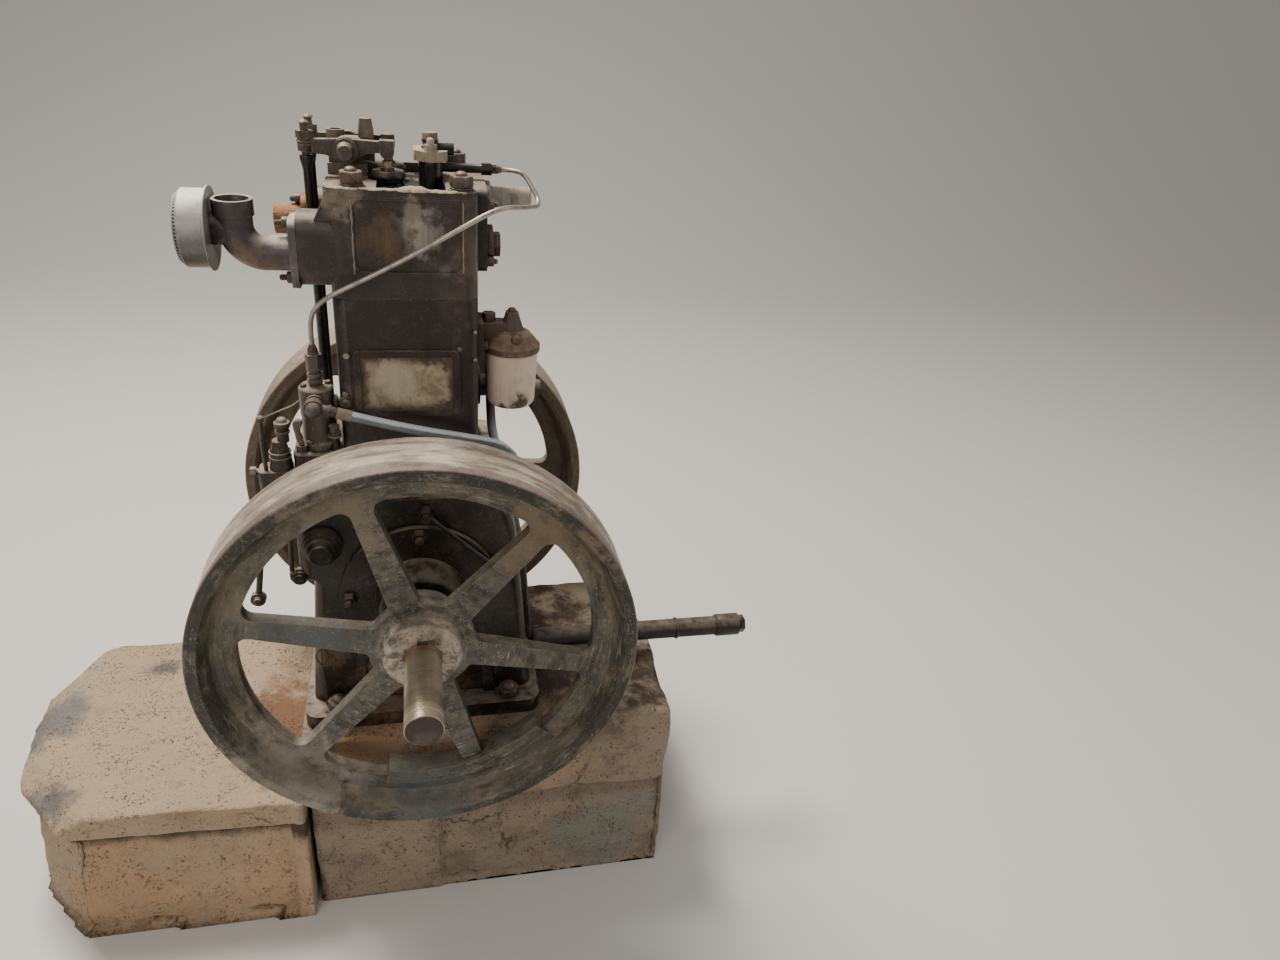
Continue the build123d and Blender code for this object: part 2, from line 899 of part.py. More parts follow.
# Yoke over the injector with its two studs
def injector_clamp():
    low = head_top + injector_above + seat_gap
    top = low + clamp_thick
    left = injector_x - clamp_width / 2
    right = injector_x + clamp_width / 2
    plate = block(left, right, -clamp_depth / 2, clamp_depth / 2, low, top)
    plate = chamfer(plate.edges().filter_by(Axis.Z), clamp_corner)
    plate = fillet(plate.edges().filter_by(Axis.Z), clamp_corner / 2)
    bore = injector_cap_radius + 2 + seat_gap
    plate -= along_z(bore, low - 1, top + 1, injector_x, 0)
    slot = block(injector_x, right + 1, -bore, bore, low - 1, top + 1)
    plate -= slot
    for sign in (-1, 1):
        y = sign * (clamp_depth / 2 - clamp_stud_inset)
        foot = head_top - deck_sink + seat_gap
        plate += along_z(clamp_stud_radius, foot, top + 14, injector_x, y)
        plate += hexagon_z(clamp_nut, top, top + 8, injector_x, y)
        plate += along_z(clamp_nut * 0.6, top, top + 2, injector_x, y)
        plate += dome_z(clamp_stud_radius, 3, top + 14, injector_x, y)
    return plate


# High pressure pipe from the pump, past the front of the head, round to the injector
def injector_pipe():
    start_z = pump_top + seat_fit + union_height + seat_fit
    end_x = injector_inlet_end + seat_fit
    z = head_top + injector_inlet_rise
    route = [
        (pump_x, pump_y, start_z),
        (pump_x, pump_y, start_z + 48),
        (pump_x + 20, pump_y - 34, start_z + 82),
        (pump_x + 120, pump_y - 38, start_z + 134),
        (pump_x + 243, pump_y - 36, head_top - 13),
        (side_face + 50, pump_y + 12, head_top - 22),
        (side_face + 76, pump_y + 48, head_top - 26),
        (side_face + 52, -14, z),
        (end_x + 16, 0, z),
        (end_x, 0, z),
    ]
    path = FilletPolyline(*route, radius=bend_radii(route))
    section = Plane(origin=route[0], z_dir=(0, 0, 1)) * Circle(injector_pipe_radius)
    return sweep(section, path)


# Intake elbow with an open spigot above and a neck for the air filter
def intake_elbow():
    x0 = port_face
    z = head_base + intake_rise
    turn_x = x0 - intake_elbow_reach
    top = head_base + spigot_top_rise
    y0 = intake_y - intake_flange_half
    y1 = intake_y + intake_flange_half
    low = z - intake_flange_low
    high = z + intake_flange_high
    flange = block(x0 - intake_flange_thick, x0, y0, y1, low, high)
    flange = fillet(flange.edges().filter_by(Axis.X), flange_corner)
    start = (x0 - intake_flange_thick / 2, intake_y, z)
    path = FilletPolyline(start, (turn_x, intake_y, z), (turn_x, intake_y, top), radius=intake_bend)
    pipe = sweep(Plane(origin=start, z_dir=(-1, 0, 0)) * Circle(intake_pipe_radius), path)
    bead = along_z(intake_pipe_radius + spigot_bead, top - spigot_bead_high, top, turn_x, intake_y)
    seat = turn_x - intake_pipe_radius - drum_gap
    neck = along_x(filter_neck_radius, seat + seat_fit, turn_x, intake_y, head_base + drum_rise)
    bore = along_z(intake_pipe_radius - intake_wall, top - spigot_open, top + 1, turn_x, intake_y)
    return flange + pipe + bead + neck - bore


# Drum of the air filter, with the ring that clamps it
def air_filter():
    x0 = port_face - intake_elbow_reach - intake_pipe_radius - drum_gap
    end = x0 - drum_length
    points = [
        (x0, 0),
        (x0, drum_ring_radius),
        (x0 - drum_ring_thick, drum_ring_radius),
        (x0 - drum_ring_thick, drum_radius),
        (end + drum_edge, drum_radius),
        (end, drum_radius - drum_edge),
        (end, 0),
    ]
    return turned_about_x(points, intake_y, head_base + drum_rise)


# Short exhaust pipe on the rear port
def exhaust_stub():
    x0 = port_face
    end = x0 - exhaust_length
    z = head_base + exhaust_rise
    y0 = exhaust_y - exhaust_flange_half
    y1 = exhaust_y + exhaust_flange_half
    flange = block(x0 - exhaust_flange_thick, x0, y0, y1, z - exhaust_flange_high, z + exhaust_flange_high)
    flange = fillet(flange.edges().filter_by(Axis.X), flange_corner)
    pipe = along_x(exhaust_radius, end, x0 - exhaust_flange_thick / 2, exhaust_y, z)
    bore = along_x(exhaust_radius - exhaust_wall, end - 1, x0 - exhaust_flange_thick - 2, exhaust_y, z)
    return flange + pipe - bore


# Housing of the tappets beside the cylinder, with guides for the pushrods
def tappet_housing():
    right = -block_width / 2 - tappet_inset
    low = casing_top + seat_fit
    body = block(-tappet_left, right, -tappet_front, tappet_back, low, tappet_top)
    body = fillet(body.edges().filter_by(Axis.Z), tappet_corner)
    body = chamfer(body.edges().group_by(Axis.Z)[-1], 3)
    for y in (-pushrod_y, pushrod_y):
        body += along_z(guide_radius, tappet_top - 4, tappet_top + guide_high, pushrod_x, y)
    for y in (-pushrod_y, pushrod_y):
        bore_low = tappet_top - pushrod_insert - tappet_corner
        body -= along_z(pushrod_radius + running_fit, bore_low, tappet_top + guide_high + 2, pushrod_x, y)
    knob_x = right - 9
    knob_y = -tappet_front + 9
    body += along_z(4, tappet_top - 1, tappet_top + 36, knob_x, knob_y)
    return body + along_z(8, tappet_top + 24, tappet_top + 29, knob_x, knob_y)


# Fuel pump: base, slim barrel, wide head and a ribbed neck, with a ribbed boss for the inlet
def fuel_pump():
    shoulder = pump_low + pump_body_height
    head_low = shoulder - pump_head_high
    points = [
        (0, pump_low),
        (pump_base_radius, pump_low),
        (pump_base_radius, pump_low + pump_base_thick),
        (pump_radius, pump_low + pump_base_thick + 3),
        (pump_radius, head_low - 4),
        (pump_head_radius, head_low),
        (pump_head_radius, shoulder - 3),
        (pump_head_radius - 3, shoulder),
    ]
    pitch = pump_neck_height / (2 * neck_ribs)
    for rib in range(neck_ribs):
        low = shoulder + 2 * rib * pitch
        points += [(pump_neck_radius - 2, low), (pump_neck_radius - 2, low + pitch)]
        points += [(pump_neck_radius + 1, low + pitch), (pump_neck_radius + 1, low + 2 * pitch)]
    points.append((0, pump_top))
    body = turned_about_z(points, pump_x, pump_y)
    front = pump_y - pump_boss_reach
    body += along_y(pump_boss_radius, front, pump_y, pump_x, banjo_z)
    return body + along_y(pump_boss_radius + 2, front + 5, front + 9, pump_x, banjo_z)


# Nut of the high pressure pipe on top of the pump
def pump_union():
    low = pump_top + seat_fit
    body = hexagon_z(union_across, low, low + union_height - 3, pump_x, pump_y)
    return body + along_z(union_across / 2 - 2, low, low + union_height, pump_x, pump_y)


# Fuel filter bowl, drawn in a little towards its foot
def fuel_filter_bowl():
    high = filter_base_z + filter_bowl_height
    points = [
        (0, filter_base_z),
        (filter_bowl_radius - filter_bowl_foot - filter_bowl_taper, filter_base_z),
        (filter_bowl_radius - filter_bowl_taper, filter_base_z + filter_bowl_foot),
        (filter_bowl_radius, high),
        (0, high),
    ]
    return turned_about_z(points, filter_x, filter_y)


# Cast head of the fuel filter, on an arm from the cylinder, with its bolts and unions
def fuel_filter_head():
    low = filter_base_z + filter_bowl_height + seat_fit
    high = low + filter_head_height
    lid = low + filter_lid_thick
    points = [
        (0, low),
        (filter_bowl_radius + 3, low),
        (filter_bowl_radius + 3, lid - 3),
        (filter_bowl_radius, lid),
        (filter_bowl_radius - 12, lid + 14),
        (17, lid + 18),
        (11, high - 8),
        (9, high),
        (0, high),
    ]
    body = turned_about_z(points, filter_x, filter_y)
    arm_x = block_width / 2 + seat_fit
    arm_y0 = filter_y - filter_arm_half
    arm_y1 = filter_y + filter_arm_half
    body += block(arm_x, filter_x, arm_y0, arm_y1, low + 4, high - 14)
    pad_y0 = filter_y - filter_pad_half
    pad_y1 = filter_y + filter_pad_half
    pad = block(arm_x, arm_x + 9, pad_y0, pad_y1, low - 6, high - 8)
    body += fillet(pad.edges().filter_by(Axis.X), 8)
    bolt_x = arm_x + 18
    body += hexagon_z(17, high - 15, high - 2, bolt_x, filter_y)
    screw_z = lid + 10
    front = filter_y - filter_bowl_radius + 8
    body += along_y(8, front, filter_y, filter_x + 4, screw_z)
    body += dome_front(8, 5, front, filter_x + 4, screw_z)
    ear = block(ear_x - 11, ear_x + 11, filter_y, ear_y + 11, low + 3, low + 20)
    body += fillet(ear.edges().filter_by(Axis.Z), 8)
    return body + along_z(hose_radius + 2, filter_union_z, low + 10, ear_x, ear_y)


# Radii of the bends of a route, as large as the runs beside each point allow
def bend_radii(route):
    radii = []
    for before, here, after in zip(route, route[1:], route[2:]):
        first = Vector(*here) - Vector(*before)
        second = Vector(*after) - Vector(*here)
        half_turn = math.radians(first.get_angle(second)) / 2
        radii.append(0.45 * min(first.length, second.length) / math.tan(half_turn))
    return radii


# Fuel hose that runs in front of the cylinder and up behind the filter bowl
def fuel_hose():
    fall = math.radians(hose_slope)
    along = []
    for reach in (hose_tail, 120):
        along.append((pump_x + reach * math.cos(fall), banjo_z - reach * math.sin(fall)))
    side = block_width / 2
    route = [
        (along[0][0], banjo_y, along[0][1]),
        (along[1][0], banjo_y, along[1][1]),
        (side, banjo_y + 6, casing_top + 88),
        (side + 31, banjo_y + 13, casing_top + 76),
        (side + 54, banjo_y + 30, casing_top + 44),
        (side + 44, filter_y - 28, casing_top + 28),
        (side + 26, filter_y + 14, casing_top + 38),
        (ear_x, ear_y, casing_top + 90),
        (ear_x, ear_y, filter_union_z - seat_fit),
    ]
    radii = bend_radii(route)
    print("fuel_hose bends", [round(radius) for radius in radii])
    path = FilletPolyline(*route, radius=radii)
    first = Vector(*route[1]) - Vector(*route[0])
    hose = sweep(Plane(origin=route[0], z_dir=first) * Circle(hose_radius), path)
    ratio = hose.volume / path.length / (math.pi * hose_radius**2)
    print("fuel_hose length", round(path.length), "ratio", round(ratio, 4))
    return hose


# Banjo fitting with a domed bolt, which turns the fuel into the hose
def fuel_inlet_union():
    back = pump_y - pump_boss_reach - seat_fit
    front = back - banjo_thick
    body = along_y(banjo_radius, front + 3, back - 3, pump_x, banjo_z)
    body += along_y(banjo_radius - 2, front, back, pump_x, banjo_z)
    body += along_y(banjo_head_radius, front - 3, front, pump_x, banjo_z)
    body += dome_front(banjo_head_radius, 6, front - 3, pump_x, banjo_z)
    tail = along_x(hose_radius, 0, hose_tail - seat_fit, 0, 0)
    tail += along_x(hose_radius + 1.5, hose_tail * 0.6, hose_tail * 0.72, 0, 0)
    return body + Pos(pump_x, banjo_y, banjo_z) * Rot(0, hose_slope, 0) * tail


# Stepped cover over the end of the camshaft, with a small plug below it
def camshaft_cover():
    face = -casing_front - seat_fit
    front = face - cam_cover_proud
    points = [
        (0, face),
        (cam_cover_radius, face),
        (cam_cover_radius, face - 8),
        (cam_cover_radius - 3, face - 10),
        (cam_cover_radius - 3, face - 16),
        (cam_cover_radius - 7, face - 19),
        (cam_cover_radius - 7, front + 9),
        (cam_cover_radius - 13, front + 5),
        (cam_cover_radius - 13, front),
        (0, front),
    ]
    return turned_about_y(points, cam_cover_x, crank_z + cam_cover_z)


# Governor bracket with its bell, barrel and the stop rod that hangs down to an eye
def governor_lever():
    top = crank_z + bracket_top
    left = -bracket_end
    right = -tappet_left - seat_gap
    front = -tappet_front
    body = block(left, right, front, -bracket_back, top - bracket_high, top)
    body = fillet(body.edges().filter_by(Axis.Z).group_by(Axis.X)[0], 8)
    bell_points = [
        (0, top - 2),
        (spring_bell_low, top - 2),
        (spring_bell_low, top + 4),
        (spring_bell_low - 3, top + 24),
        (spring_bell_high, crank_z + spring_bell_top),
        (0, crank_z + spring_bell_top),
    ]
    body += turned_about_z(bell_points, governor_x, governor_y)
    barrel_top_z = crank_z + barrel_top
    bell_top_z = crank_z + spring_bell_top
    body += along_z(barrel_radius, bell_top_z - 2, barrel_top_z, governor_x + 6, governor_y)
    body += along_z(barrel_radius + 1.5, barrel_top_z - 8, barrel_top_z - 3, governor_x + 6, governor_y)
    bolt_z = top - 6
    body += along_x(5, left - 12, left, governor_y, bolt_z)
    body += hexagon_x(13, left - 12, left - 4, governor_y, bolt_z)
    rod_top = (stop_rod_top_x, governor_y, top - 6)
    rod_end = (stop_rod_end_x, governor_y, crank_z + stop_rod_end_z)
    run = Vector(*rod_end) - Vector(*rod_top)
    body += extrude(Plane(origin=rod_top, z_dir=run) * Circle(stop_rod_radius), run.length)
    eye_y0 = governor_y - stop_rod_radius - 0.6
    eye_y1 = governor_y + stop_rod_radius + 0.6
    eye = along_y(stop_eye_radius, eye_y0, eye_y1, rod_end[0], rod_end[2])
    return body + eye - along_y(stop_eye_radius - 5, eye_y0 - 1, eye_y1 + 1, rod_end[0], rod_end[2])


# Round-cornered inspection door on the flared side of the crankcase
def crankcase_door():
    side_height = casing_height - casing_shoulder
    slope = (casing_base_width - casing_top_width) / 2 / side_height
    lean = math.degrees(math.atan(slope))
    rise = drain_rise + drain_boss_radius + side_door_above_boss + side_door_height / 2
    x = casing_base_width / 2 - slope * rise + 2 * seat_fit + side_door_thick / 2
    plate = Box(side_door_thick, side_door_width, side_door_height)
    plate = fillet(plate.edges().filter_by(Axis.X), side_door_corner)
    plate = chamfer(plate.faces().sort_by(Axis.X)[-1].edges(), 3)
    return Pos(x, 0, base_z + rise) * Rot(0, -lean, 0) * plate


# Oil drain pipe that leaves the sump beside the foot and ends in a capped collar
def drain_pipe():
    x0 = casing_base_width / 2 + seat_gap + seat_fit
    y = drain_y
    z = base_z + drain_rise
    collar = drain_end - 52
    cap = drain_end - 12
    pipe = along_x(drain_pipe_radius, x0, collar, y, z)
    pipe += along_x(drain_pipe_radius + 3, collar, cap, y, z)
    pipe += hexagon_x(2 * drain_pipe_radius - 6, cap, drain_end, y, z)
    foot_edge = foot_width / 2 + seat_gap
    return pipe + along_x(drain_pipe_radius + 5, foot_edge, foot_edge + 12, y, z)


# Inlet for the cooling water behind the fuel filter, bent a little downwards
def water_inlet_elbow():
    x0 = block_width / 2 + seat_fit
    z = crank_z + inlet_z
    bend_x = x0 + inlet_run
    turn = math.radians(inlet_turn)
    rest = inlet_length - inlet_run
    end = (bend_x + rest * math.cos(turn), inlet_y, z - rest * math.sin(turn))
    start = (x0 + inlet_flange_thick / 2, inlet_y, z)
    body = along_x(inlet_flange_radius, x0, x0 + inlet_flange_thick, inlet_y, z)
    path = FilletPolyline(start, (bend_x, inlet_y, z), end, radius=inlet_run)
    return body + sweep(Plane(origin=start, z_dir=(1, 0, 0)) * Circle(inlet_radius), path)


# Crankshaft, a little thicker from bearing to hub than at its free ends
def crankshaft():
    step = hub_outer_y + 1
    shaft = along_y(shaft_radius, -shaft_reach, shaft_reach, 0, crank_z)
    shaft = chamfer(shaft.edges().filter_by(GeomType.CIRCLE), shaft_chamfer)
    shaft += along_y(journal_radius, -step, step, 0, crank_z)
    slot_low = crank_z + journal_radius - key_height / 2
    half = key_width / 2
    for side in (-1, 1):
        y0 = side * (hub_outer_y - key_length)
        y1 = side * (step + 1)
        shaft -= block(-half, half, y0, y1, slot_low, slot_low + key_height)
    return shaft


# Key that locks one flywheel to the shaft
def wheel_key(side):
    y0 = side * (hub_outer_y - key_length + 1)
    y1 = side * hub_outer_y
    low = crank_z + journal_radius - key_height / 2 + seat_fit
    half = key_width / 2 - seat_fit
    return block(-half, half, y0, y1, low, low + key_height - 2 * seat_fit)


# Openings between the spokes, with fillets where the spokes meet rim and hub
def spoke_openings(first_angle):
    ring = Circle(flange_inner) - Circle(web_radius)
    hub_half = spoke_width_hub / 2
    rim_half = spoke_width_rim / 2
    inner_end = web_radius - 20
    outer_end = flange_inner + 10
    corners = [(inner_end, -hub_half), (outer_end, -rim_half), (outer_end, rim_half), (inner_end, hub_half)]
    spoke = make_face(Polyline(corners, close=True))
    for turn in range(spoke_count):
        ring -= Rot(0, 0, first_angle + 360 / spoke_count * turn) * spoke
    outer = ring.vertices().filter_by(lambda v: math.hypot(v.X, v.Y) > flange_inner - 5)
    ring = fillet(outer, spoke_fillet_rim)
    inner = ring.vertices().filter_by(lambda v: math.hypot(v.X, v.Y) < web_radius + 5)
    return fillet(inner, spoke_fillet_hub)


# Heavy cast wheel: rim with sloped inner faces, plate with tapered spokes, hub and weight
def flywheel(side, first_angle):
    inner_y = wheel_outer_y - wheel_width
    plate0 = wheel_middle - plate_thick / 2
    plate1 = wheel_middle + plate_thick / 2
    rim_points = [
        (wheel_radius, inner_y + 2),
        (wheel_radius, wheel_outer_y - 2),
        (wheel_radius - 2, wheel_outer_y),
        (rim_inner + 2, wheel_outer_y),
        (rim_inner, wheel_outer_y - 2),
        (rim_root + 4, plate1 + 5),
        (rim_root, plate1),
        (flange_inner, plate1 - 1.5),
        (flange_inner, plate0 + 1.5),
        (rim_root, plate0),
        (rim_root + 4, plate0 - 5),
        (rim_inner, inner_y + 2),
        (rim_inner + 2, inner_y),
        (wheel_radius - 2, inner_y),
    ]
    rim = turned_about_y([(r, side * y) for r, y in rim_points], 0, crank_z)
    plate = Circle(flange_inner + 4) - spoke_openings(first_angle)
    face = Plane(origin=(0, side * wheel_middle, crank_z), x_dir=(1, 0, 0), z_dir=(0, -1, 0))
    spokes = extrude(face * plate, plate_thick / 2 - 1.5, both=True)
    bore_radius = journal_radius + seat_fit
    hub_points = [
        (bore_radius, hub_inner_y),
        (hub_radius - 3, hub_inner_y),
        (hub_radius, hub_inner_y + 3),
        (hub_radius + 4, plate0),
        (hub_radius + 4, plate1),
        (hub_radius, plate1 + 8),
        (hub_radius, hub_outer_y - 4),
        (hub_radius - 4, hub_outer_y),
        (bore_radius, hub_outer_y),
    ]
    hub = turned_about_y([(r, side * y) for r, y in hub_points], 0, crank_z)
    bore = along_y(bore_radius, side * (hub_inner_y - 10), side * (hub_outer_y + 10), 0, crank_z)
    wheel = rim + (spokes - bore) + hub + balance_weight(side)
    y0 = side * (hub_inner_y - 1)
    y1 = side * (hub_outer_y + 1)
    half = key_width / 2
    return wheel - block(-half, half, y0, y1, crank_z, crank_z + journal_radius + key_height / 2)


# Balance weight cast inside the rim
def balance_weight(side):
    outer = Circle(flange_inner + 8) - Circle(flange_inner - weight_depth)
    reach = wheel_radius * 1.2
    wedge_points = [(0, 0)]
    steps = 4
    for step in range(steps + 1):
        angle = math.radians(weight_start + weight_angle * step / steps)
        wedge_points.append((reach * math.cos(angle), reach * math.sin(angle)))
    sector = outer & make_face(Polyline(wedge_points, close=True))
    face = Plane(origin=(0, side * wheel_middle, crank_z), x_dir=(1, 0, 0), z_dir=(0, -1, 0))
    return extrude(face * sector, weight_width / 2, both=True)


# Belt pulley with one vee groove on the far end of the shaft
def drive_pulley():
    y0 = pulley_inner_y
    y1 = y0 + pulley_width
    mid = (y0 + y1) / 2
    root = pulley_radius - pulley_groove
    dish = pulley_radius - pulley_groove - 10
    bore = shaft_radius + seat_fit
    points = [
        (bore, y0 - 6),
        (pulley_hub_radius, y0 - 6),
        (pulley_hub_radius + 4, mid - 6),
        (dish, mid - 6),
        (dish + 4, y0),
        (pulley_radius, y0),
        (pulley_radius, mid - 11),
        (root, mid - 5),
        (root, mid + 5),
        (pulley_radius, mid + 11),
        (pulley_radius, y1),
        (dish + 4, y1),
        (dish, mid + 6),
        (pulley_hub_radius + 4, mid + 6),
        (pulley_hub_radius, y1 + 10),
        (bore, y1 + 10),
    ]
    return turned_about_y(points, 0, crank_z)


# Thin oil pipe across the front of the crankcase, with its union at the top
def oil_pipe():
    y = -casing_front - bearing_flange_thick - 1 - oil_pipe_radius
    route = [(x, y, crank_z + z) for x, z in (oil_pipe_start, oil_pipe_mid, oil_pipe_end)]
    path = FilletPolyline(*route, radius=bend_radii(route))
    first = Vector(*route[1]) - Vector(*route[0])
    pipe = sweep(Plane(origin=route[0], z_dir=first) * Circle(oil_pipe_radius), path)
    for x, z in (oil_pipe_start, oil_pipe_end):
        front = y - oil_pipe_radius - 3
        pipe += along_y(8, front, -casing_front - seat_fit, x, crank_z + z)
        pipe += hexagon_y(13, front - 7, front, x, crank_z + z)
    return pipe


os.makedirs("parts", exist_ok=True)
save(plinth_block(), "plinth_block")
save(lower_slab(), "lower_slab")
save(foundation_bolts(), "foundation_bolts")
save(crankcase(), "crankcase")
save(bearing_housing(-1), "front_bearing_housing")
save(bearing_housing(1), "rear_bearing_housing")
save(crankcase_door(), "crankcase_door")
save(drain_pipe(), "drain_pipe")
save(camshaft_cover(), "camshaft_cover")
save(oil_pipe(), "oil_pipe")
save(cylinder_block(), "cylinder_block")
save(jacket_door(), "jacket_door")
save(water_inlet_elbow(), "water_inlet_elbow")
save(head_gasket(), "head_gasket")
save(cylinder_head(), "cylinder_head")
save(head_nuts(), "head_nuts")
save(head_side_plate(), "head_side_plate")
save(chamber_plug(), "chamber_plug")
save(water_outlet(), "water_outlet")
save(rocker_pedestal(), "rocker_pedestal")
save(rocker_shaft(), "rocker_shaft")
for valve_name, row_side in (("inlet", -1), ("exhaust", 1)):
    save(rocker(row_side), valve_name + "_rocker")
    save(pushrod(row_side), valve_name + "_pushrod")
    save(valve(row_side), valve_name + "_valve")
    save(valve_spring(row_side), valve_name + "_valve_spring")
save(injector(), "injector")
save(injector_clamp(), "injector_clamp")
save(injector_pipe(), "injector_pipe")
save(intake_elbow(), "intake_elbow")
save(air_filter(), "air_filter")
save(exhaust_stub(), "exhaust_stub")
save(tappet_housing(), "tappet_housing")
save(fuel_pump(), "fuel_pump")
save(pump_union(), "pump_union")
save(fuel_inlet_union(), "fuel_inlet_union")
save(fuel_hose(), "fuel_hose")
save(fuel_filter_bowl(), "fuel_filter_bowl")
save(fuel_filter_head(), "fuel_filter_head")
save(governor_lever(), "governor_lever")
save(crankshaft(), "crankshaft")
for wheel_name, wheel_side, spoke_angle in (("front", -1, front_spoke_angle), ("rear", 1, rear_spoke_angle)):
    save(flywheel(wheel_side, spoke_angle), wheel_name + "_flywheel")
    save(wheel_key(wheel_side), wheel_name + "_wheel_key")
save(drive_pulley(), "drive_pulley")
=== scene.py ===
import math
import random

import bmesh
import bpy
from mathutils import Matrix, Vector, noise


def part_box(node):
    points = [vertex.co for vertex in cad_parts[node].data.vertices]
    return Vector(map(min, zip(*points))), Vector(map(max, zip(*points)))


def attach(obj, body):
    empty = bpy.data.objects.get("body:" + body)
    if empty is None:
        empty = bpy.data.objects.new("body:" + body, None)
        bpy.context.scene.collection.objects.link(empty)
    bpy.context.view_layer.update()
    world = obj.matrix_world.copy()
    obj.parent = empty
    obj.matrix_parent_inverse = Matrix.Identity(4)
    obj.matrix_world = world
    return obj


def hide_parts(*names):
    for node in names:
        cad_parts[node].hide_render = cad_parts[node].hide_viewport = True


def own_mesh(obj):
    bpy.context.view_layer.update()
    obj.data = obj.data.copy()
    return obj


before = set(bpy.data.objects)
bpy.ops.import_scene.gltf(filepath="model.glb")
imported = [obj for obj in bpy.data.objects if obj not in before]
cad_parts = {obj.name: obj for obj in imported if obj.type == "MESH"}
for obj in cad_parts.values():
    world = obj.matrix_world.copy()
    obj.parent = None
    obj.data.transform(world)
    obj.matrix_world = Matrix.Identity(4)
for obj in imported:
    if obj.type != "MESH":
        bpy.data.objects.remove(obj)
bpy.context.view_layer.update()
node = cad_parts


# View and light. The camera stands where the photograph was taken from, a little above the engine
# and to its left. The floor is plain and pale. One lamp stands above and behind, and two weak ones
# in front and at the right.
camera_place = (0.01242, -1.30977, 1.41653)
camera_right = Vector((0.97335, -0.21440, 0.08136))
camera_up = Vector((0.03120, 0.47533, 0.87925))
camera_forward = Vector((0.22719, 0.85329, -0.46935))
camera_lens = 25.73

camera = bpy.data.objects.new("camera", bpy.data.cameras.new("camera"))
camera.data.lens = camera_lens
camera.data.sensor_width = 36
camera.data.clip_start = 0.05
turn = Matrix((camera_right, camera_up, -camera_forward)).transposed().to_4x4()
camera.matrix_world = Matrix.Translation(camera_place) @ turn
bpy.context.scene.collection.objects.link(camera)
bpy.context.scene.camera = camera

for lamp_name, place, target, size, power, tint in (
    ("sky_lamp", (-0.9, 1.0, 3.7), (0, 0, 0.6), 1.1, 205, (1.0, 0.92, 0.80)),
    ("front_lamp", (-1.7, -3.2, 2.5), (0, 0, 0.6), 2.2, 46, (1.0, 0.93, 0.85)),
    ("side_lamp", (3.2, -0.8, 1.9), (0, 0, 0.7), 2.2, 18, (1.0, 0.96, 0.90)),
):
    lamp = bpy.data.objects.new(lamp_name, bpy.data.lights.new(lamp_name, "AREA"))
    lamp.data.size = size
    lamp.data.energy = power
    lamp.data.color = tint
    lamp.location = place
    aim = Vector(target) - Vector(place)
    lamp.rotation_mode = "QUATERNION"
    lamp.rotation_quaternion = aim.to_track_quat("-Z", "Y")
    bpy.context.scene.collection.objects.link(lamp)

sky = bpy.data.worlds.new("studio")
sky.use_nodes = True
sky.node_tree.nodes["Background"].inputs["Color"].default_value = (0.95, 0.905, 0.845, 1)
sky.node_tree.nodes["Background"].inputs["Strength"].default_value = 0.34
bpy.context.scene.world = sky

sweep_start = 3.2
sweep_radius = 2.6
sweep = [(-7.0, 0.0), (sweep_start, 0.0)]
for i in range(1, 13):
    angle = math.pi / 2 * i / 12
    rise = sweep_radius - sweep_radius * math.cos(angle)
    sweep.append((sweep_start + sweep_radius * math.sin(angle), rise))
sweep.append((sweep_start + sweep_radius, 6.5))
floor_points = [(side * 9.0, y, z) for y, z in sweep for side in (-1, 1)]
floor_faces = [(2 * i, 2 * i + 1, 2 * i + 3, 2 * i + 2) for i in range(len(sweep) - 1)]
floor_mesh = bpy.data.meshes.new("studio_floor")
floor_mesh.from_pydata(floor_points, [], floor_faces)
floor_mesh.shade_smooth()
floor = bpy.data.objects.new("studio_floor", floor_mesh)
floor_paint = bpy.data.materials.new("pale_floor")
floor_paint.use_nodes = True
floor_shader = floor_paint.node_tree.nodes["Principled BSDF"].inputs
floor_shader["Base Color"].default_value = (0.66, 0.65, 0.63, 1)
floor_shader["Roughness"].default_value = 0.9
floor_mesh.materials.append(floor_paint)
bpy.context.scene.collection.objects.link(floor)


# Plinth. A cast pier under the engine and a lower slab beside it, of site-mixed concrete with dirt
# and oil on it. Edges are chipped, the front is hollowed under its lip, and the slab's far end is
# broken off. A painted shadow darkens the front face in a band just under the lip.
def shader_group(name, inputs, outputs):
    group = bpy.data.node_groups.new(name, "ShaderNodeTree")
    for label, value in inputs.items():
        kind = {4: "Color", 3: "Vector"}[len(value)] if isinstance(value, tuple) else "Float"
        socket = group.interface.new_socket(label, in_out="INPUT", socket_type="NodeSocket" + kind)
        socket.default_value = value
    for label in outputs:
        kind = "Color" if label == "Colour" else "Float"
        group.interface.new_socket(label, in_out="OUTPUT", socket_type="NodeSocket" + kind)
    given = group.nodes.new("NodeGroupInput").outputs
    result = group.nodes.new("NodeGroupOutput").inputs
    return group, given, result


def give(tree, result, **values):
    for label, value in values.items():
        tree.links.new(value, result[label])


def fill_inputs(tree, made, values):
    for key, value in values.items():
        if isinstance(value, bpy.types.NodeSocket):
            tree.links.new(value, made.inputs[key])
        else:
            made.inputs[key].default_value = value


def put(tree, kind, values=None, **settings):
    made = tree.nodes.new("ShaderNode" + kind)
    for key, value in settings.items():
        setattr(made, key, value)
    fill_inputs(tree, made, values or {})
    return made


def grouped(tree, group, **values):
    made = tree.nodes.new("ShaderNodeGroup")
    made.node_tree = group
    fill_inputs(tree, made, values)
    return made.outputs


def sums(tree, operation, first, *others):
    for other in others:
        first = put(tree, "Math", {0: first, 1: other}, operation=operation).outputs[0]
    return first


def plus(tree, *parts):
    return sums(tree, "ADD", *parts)


def minus(tree, first, second):
    return sums(tree, "SUBTRACT", first, second)


def times(tree, *parts):
    return sums(tree, "MULTIPLY", *parts)


def larger(tree, *parts):
    return sums(tree, "MAXIMUM", *parts)


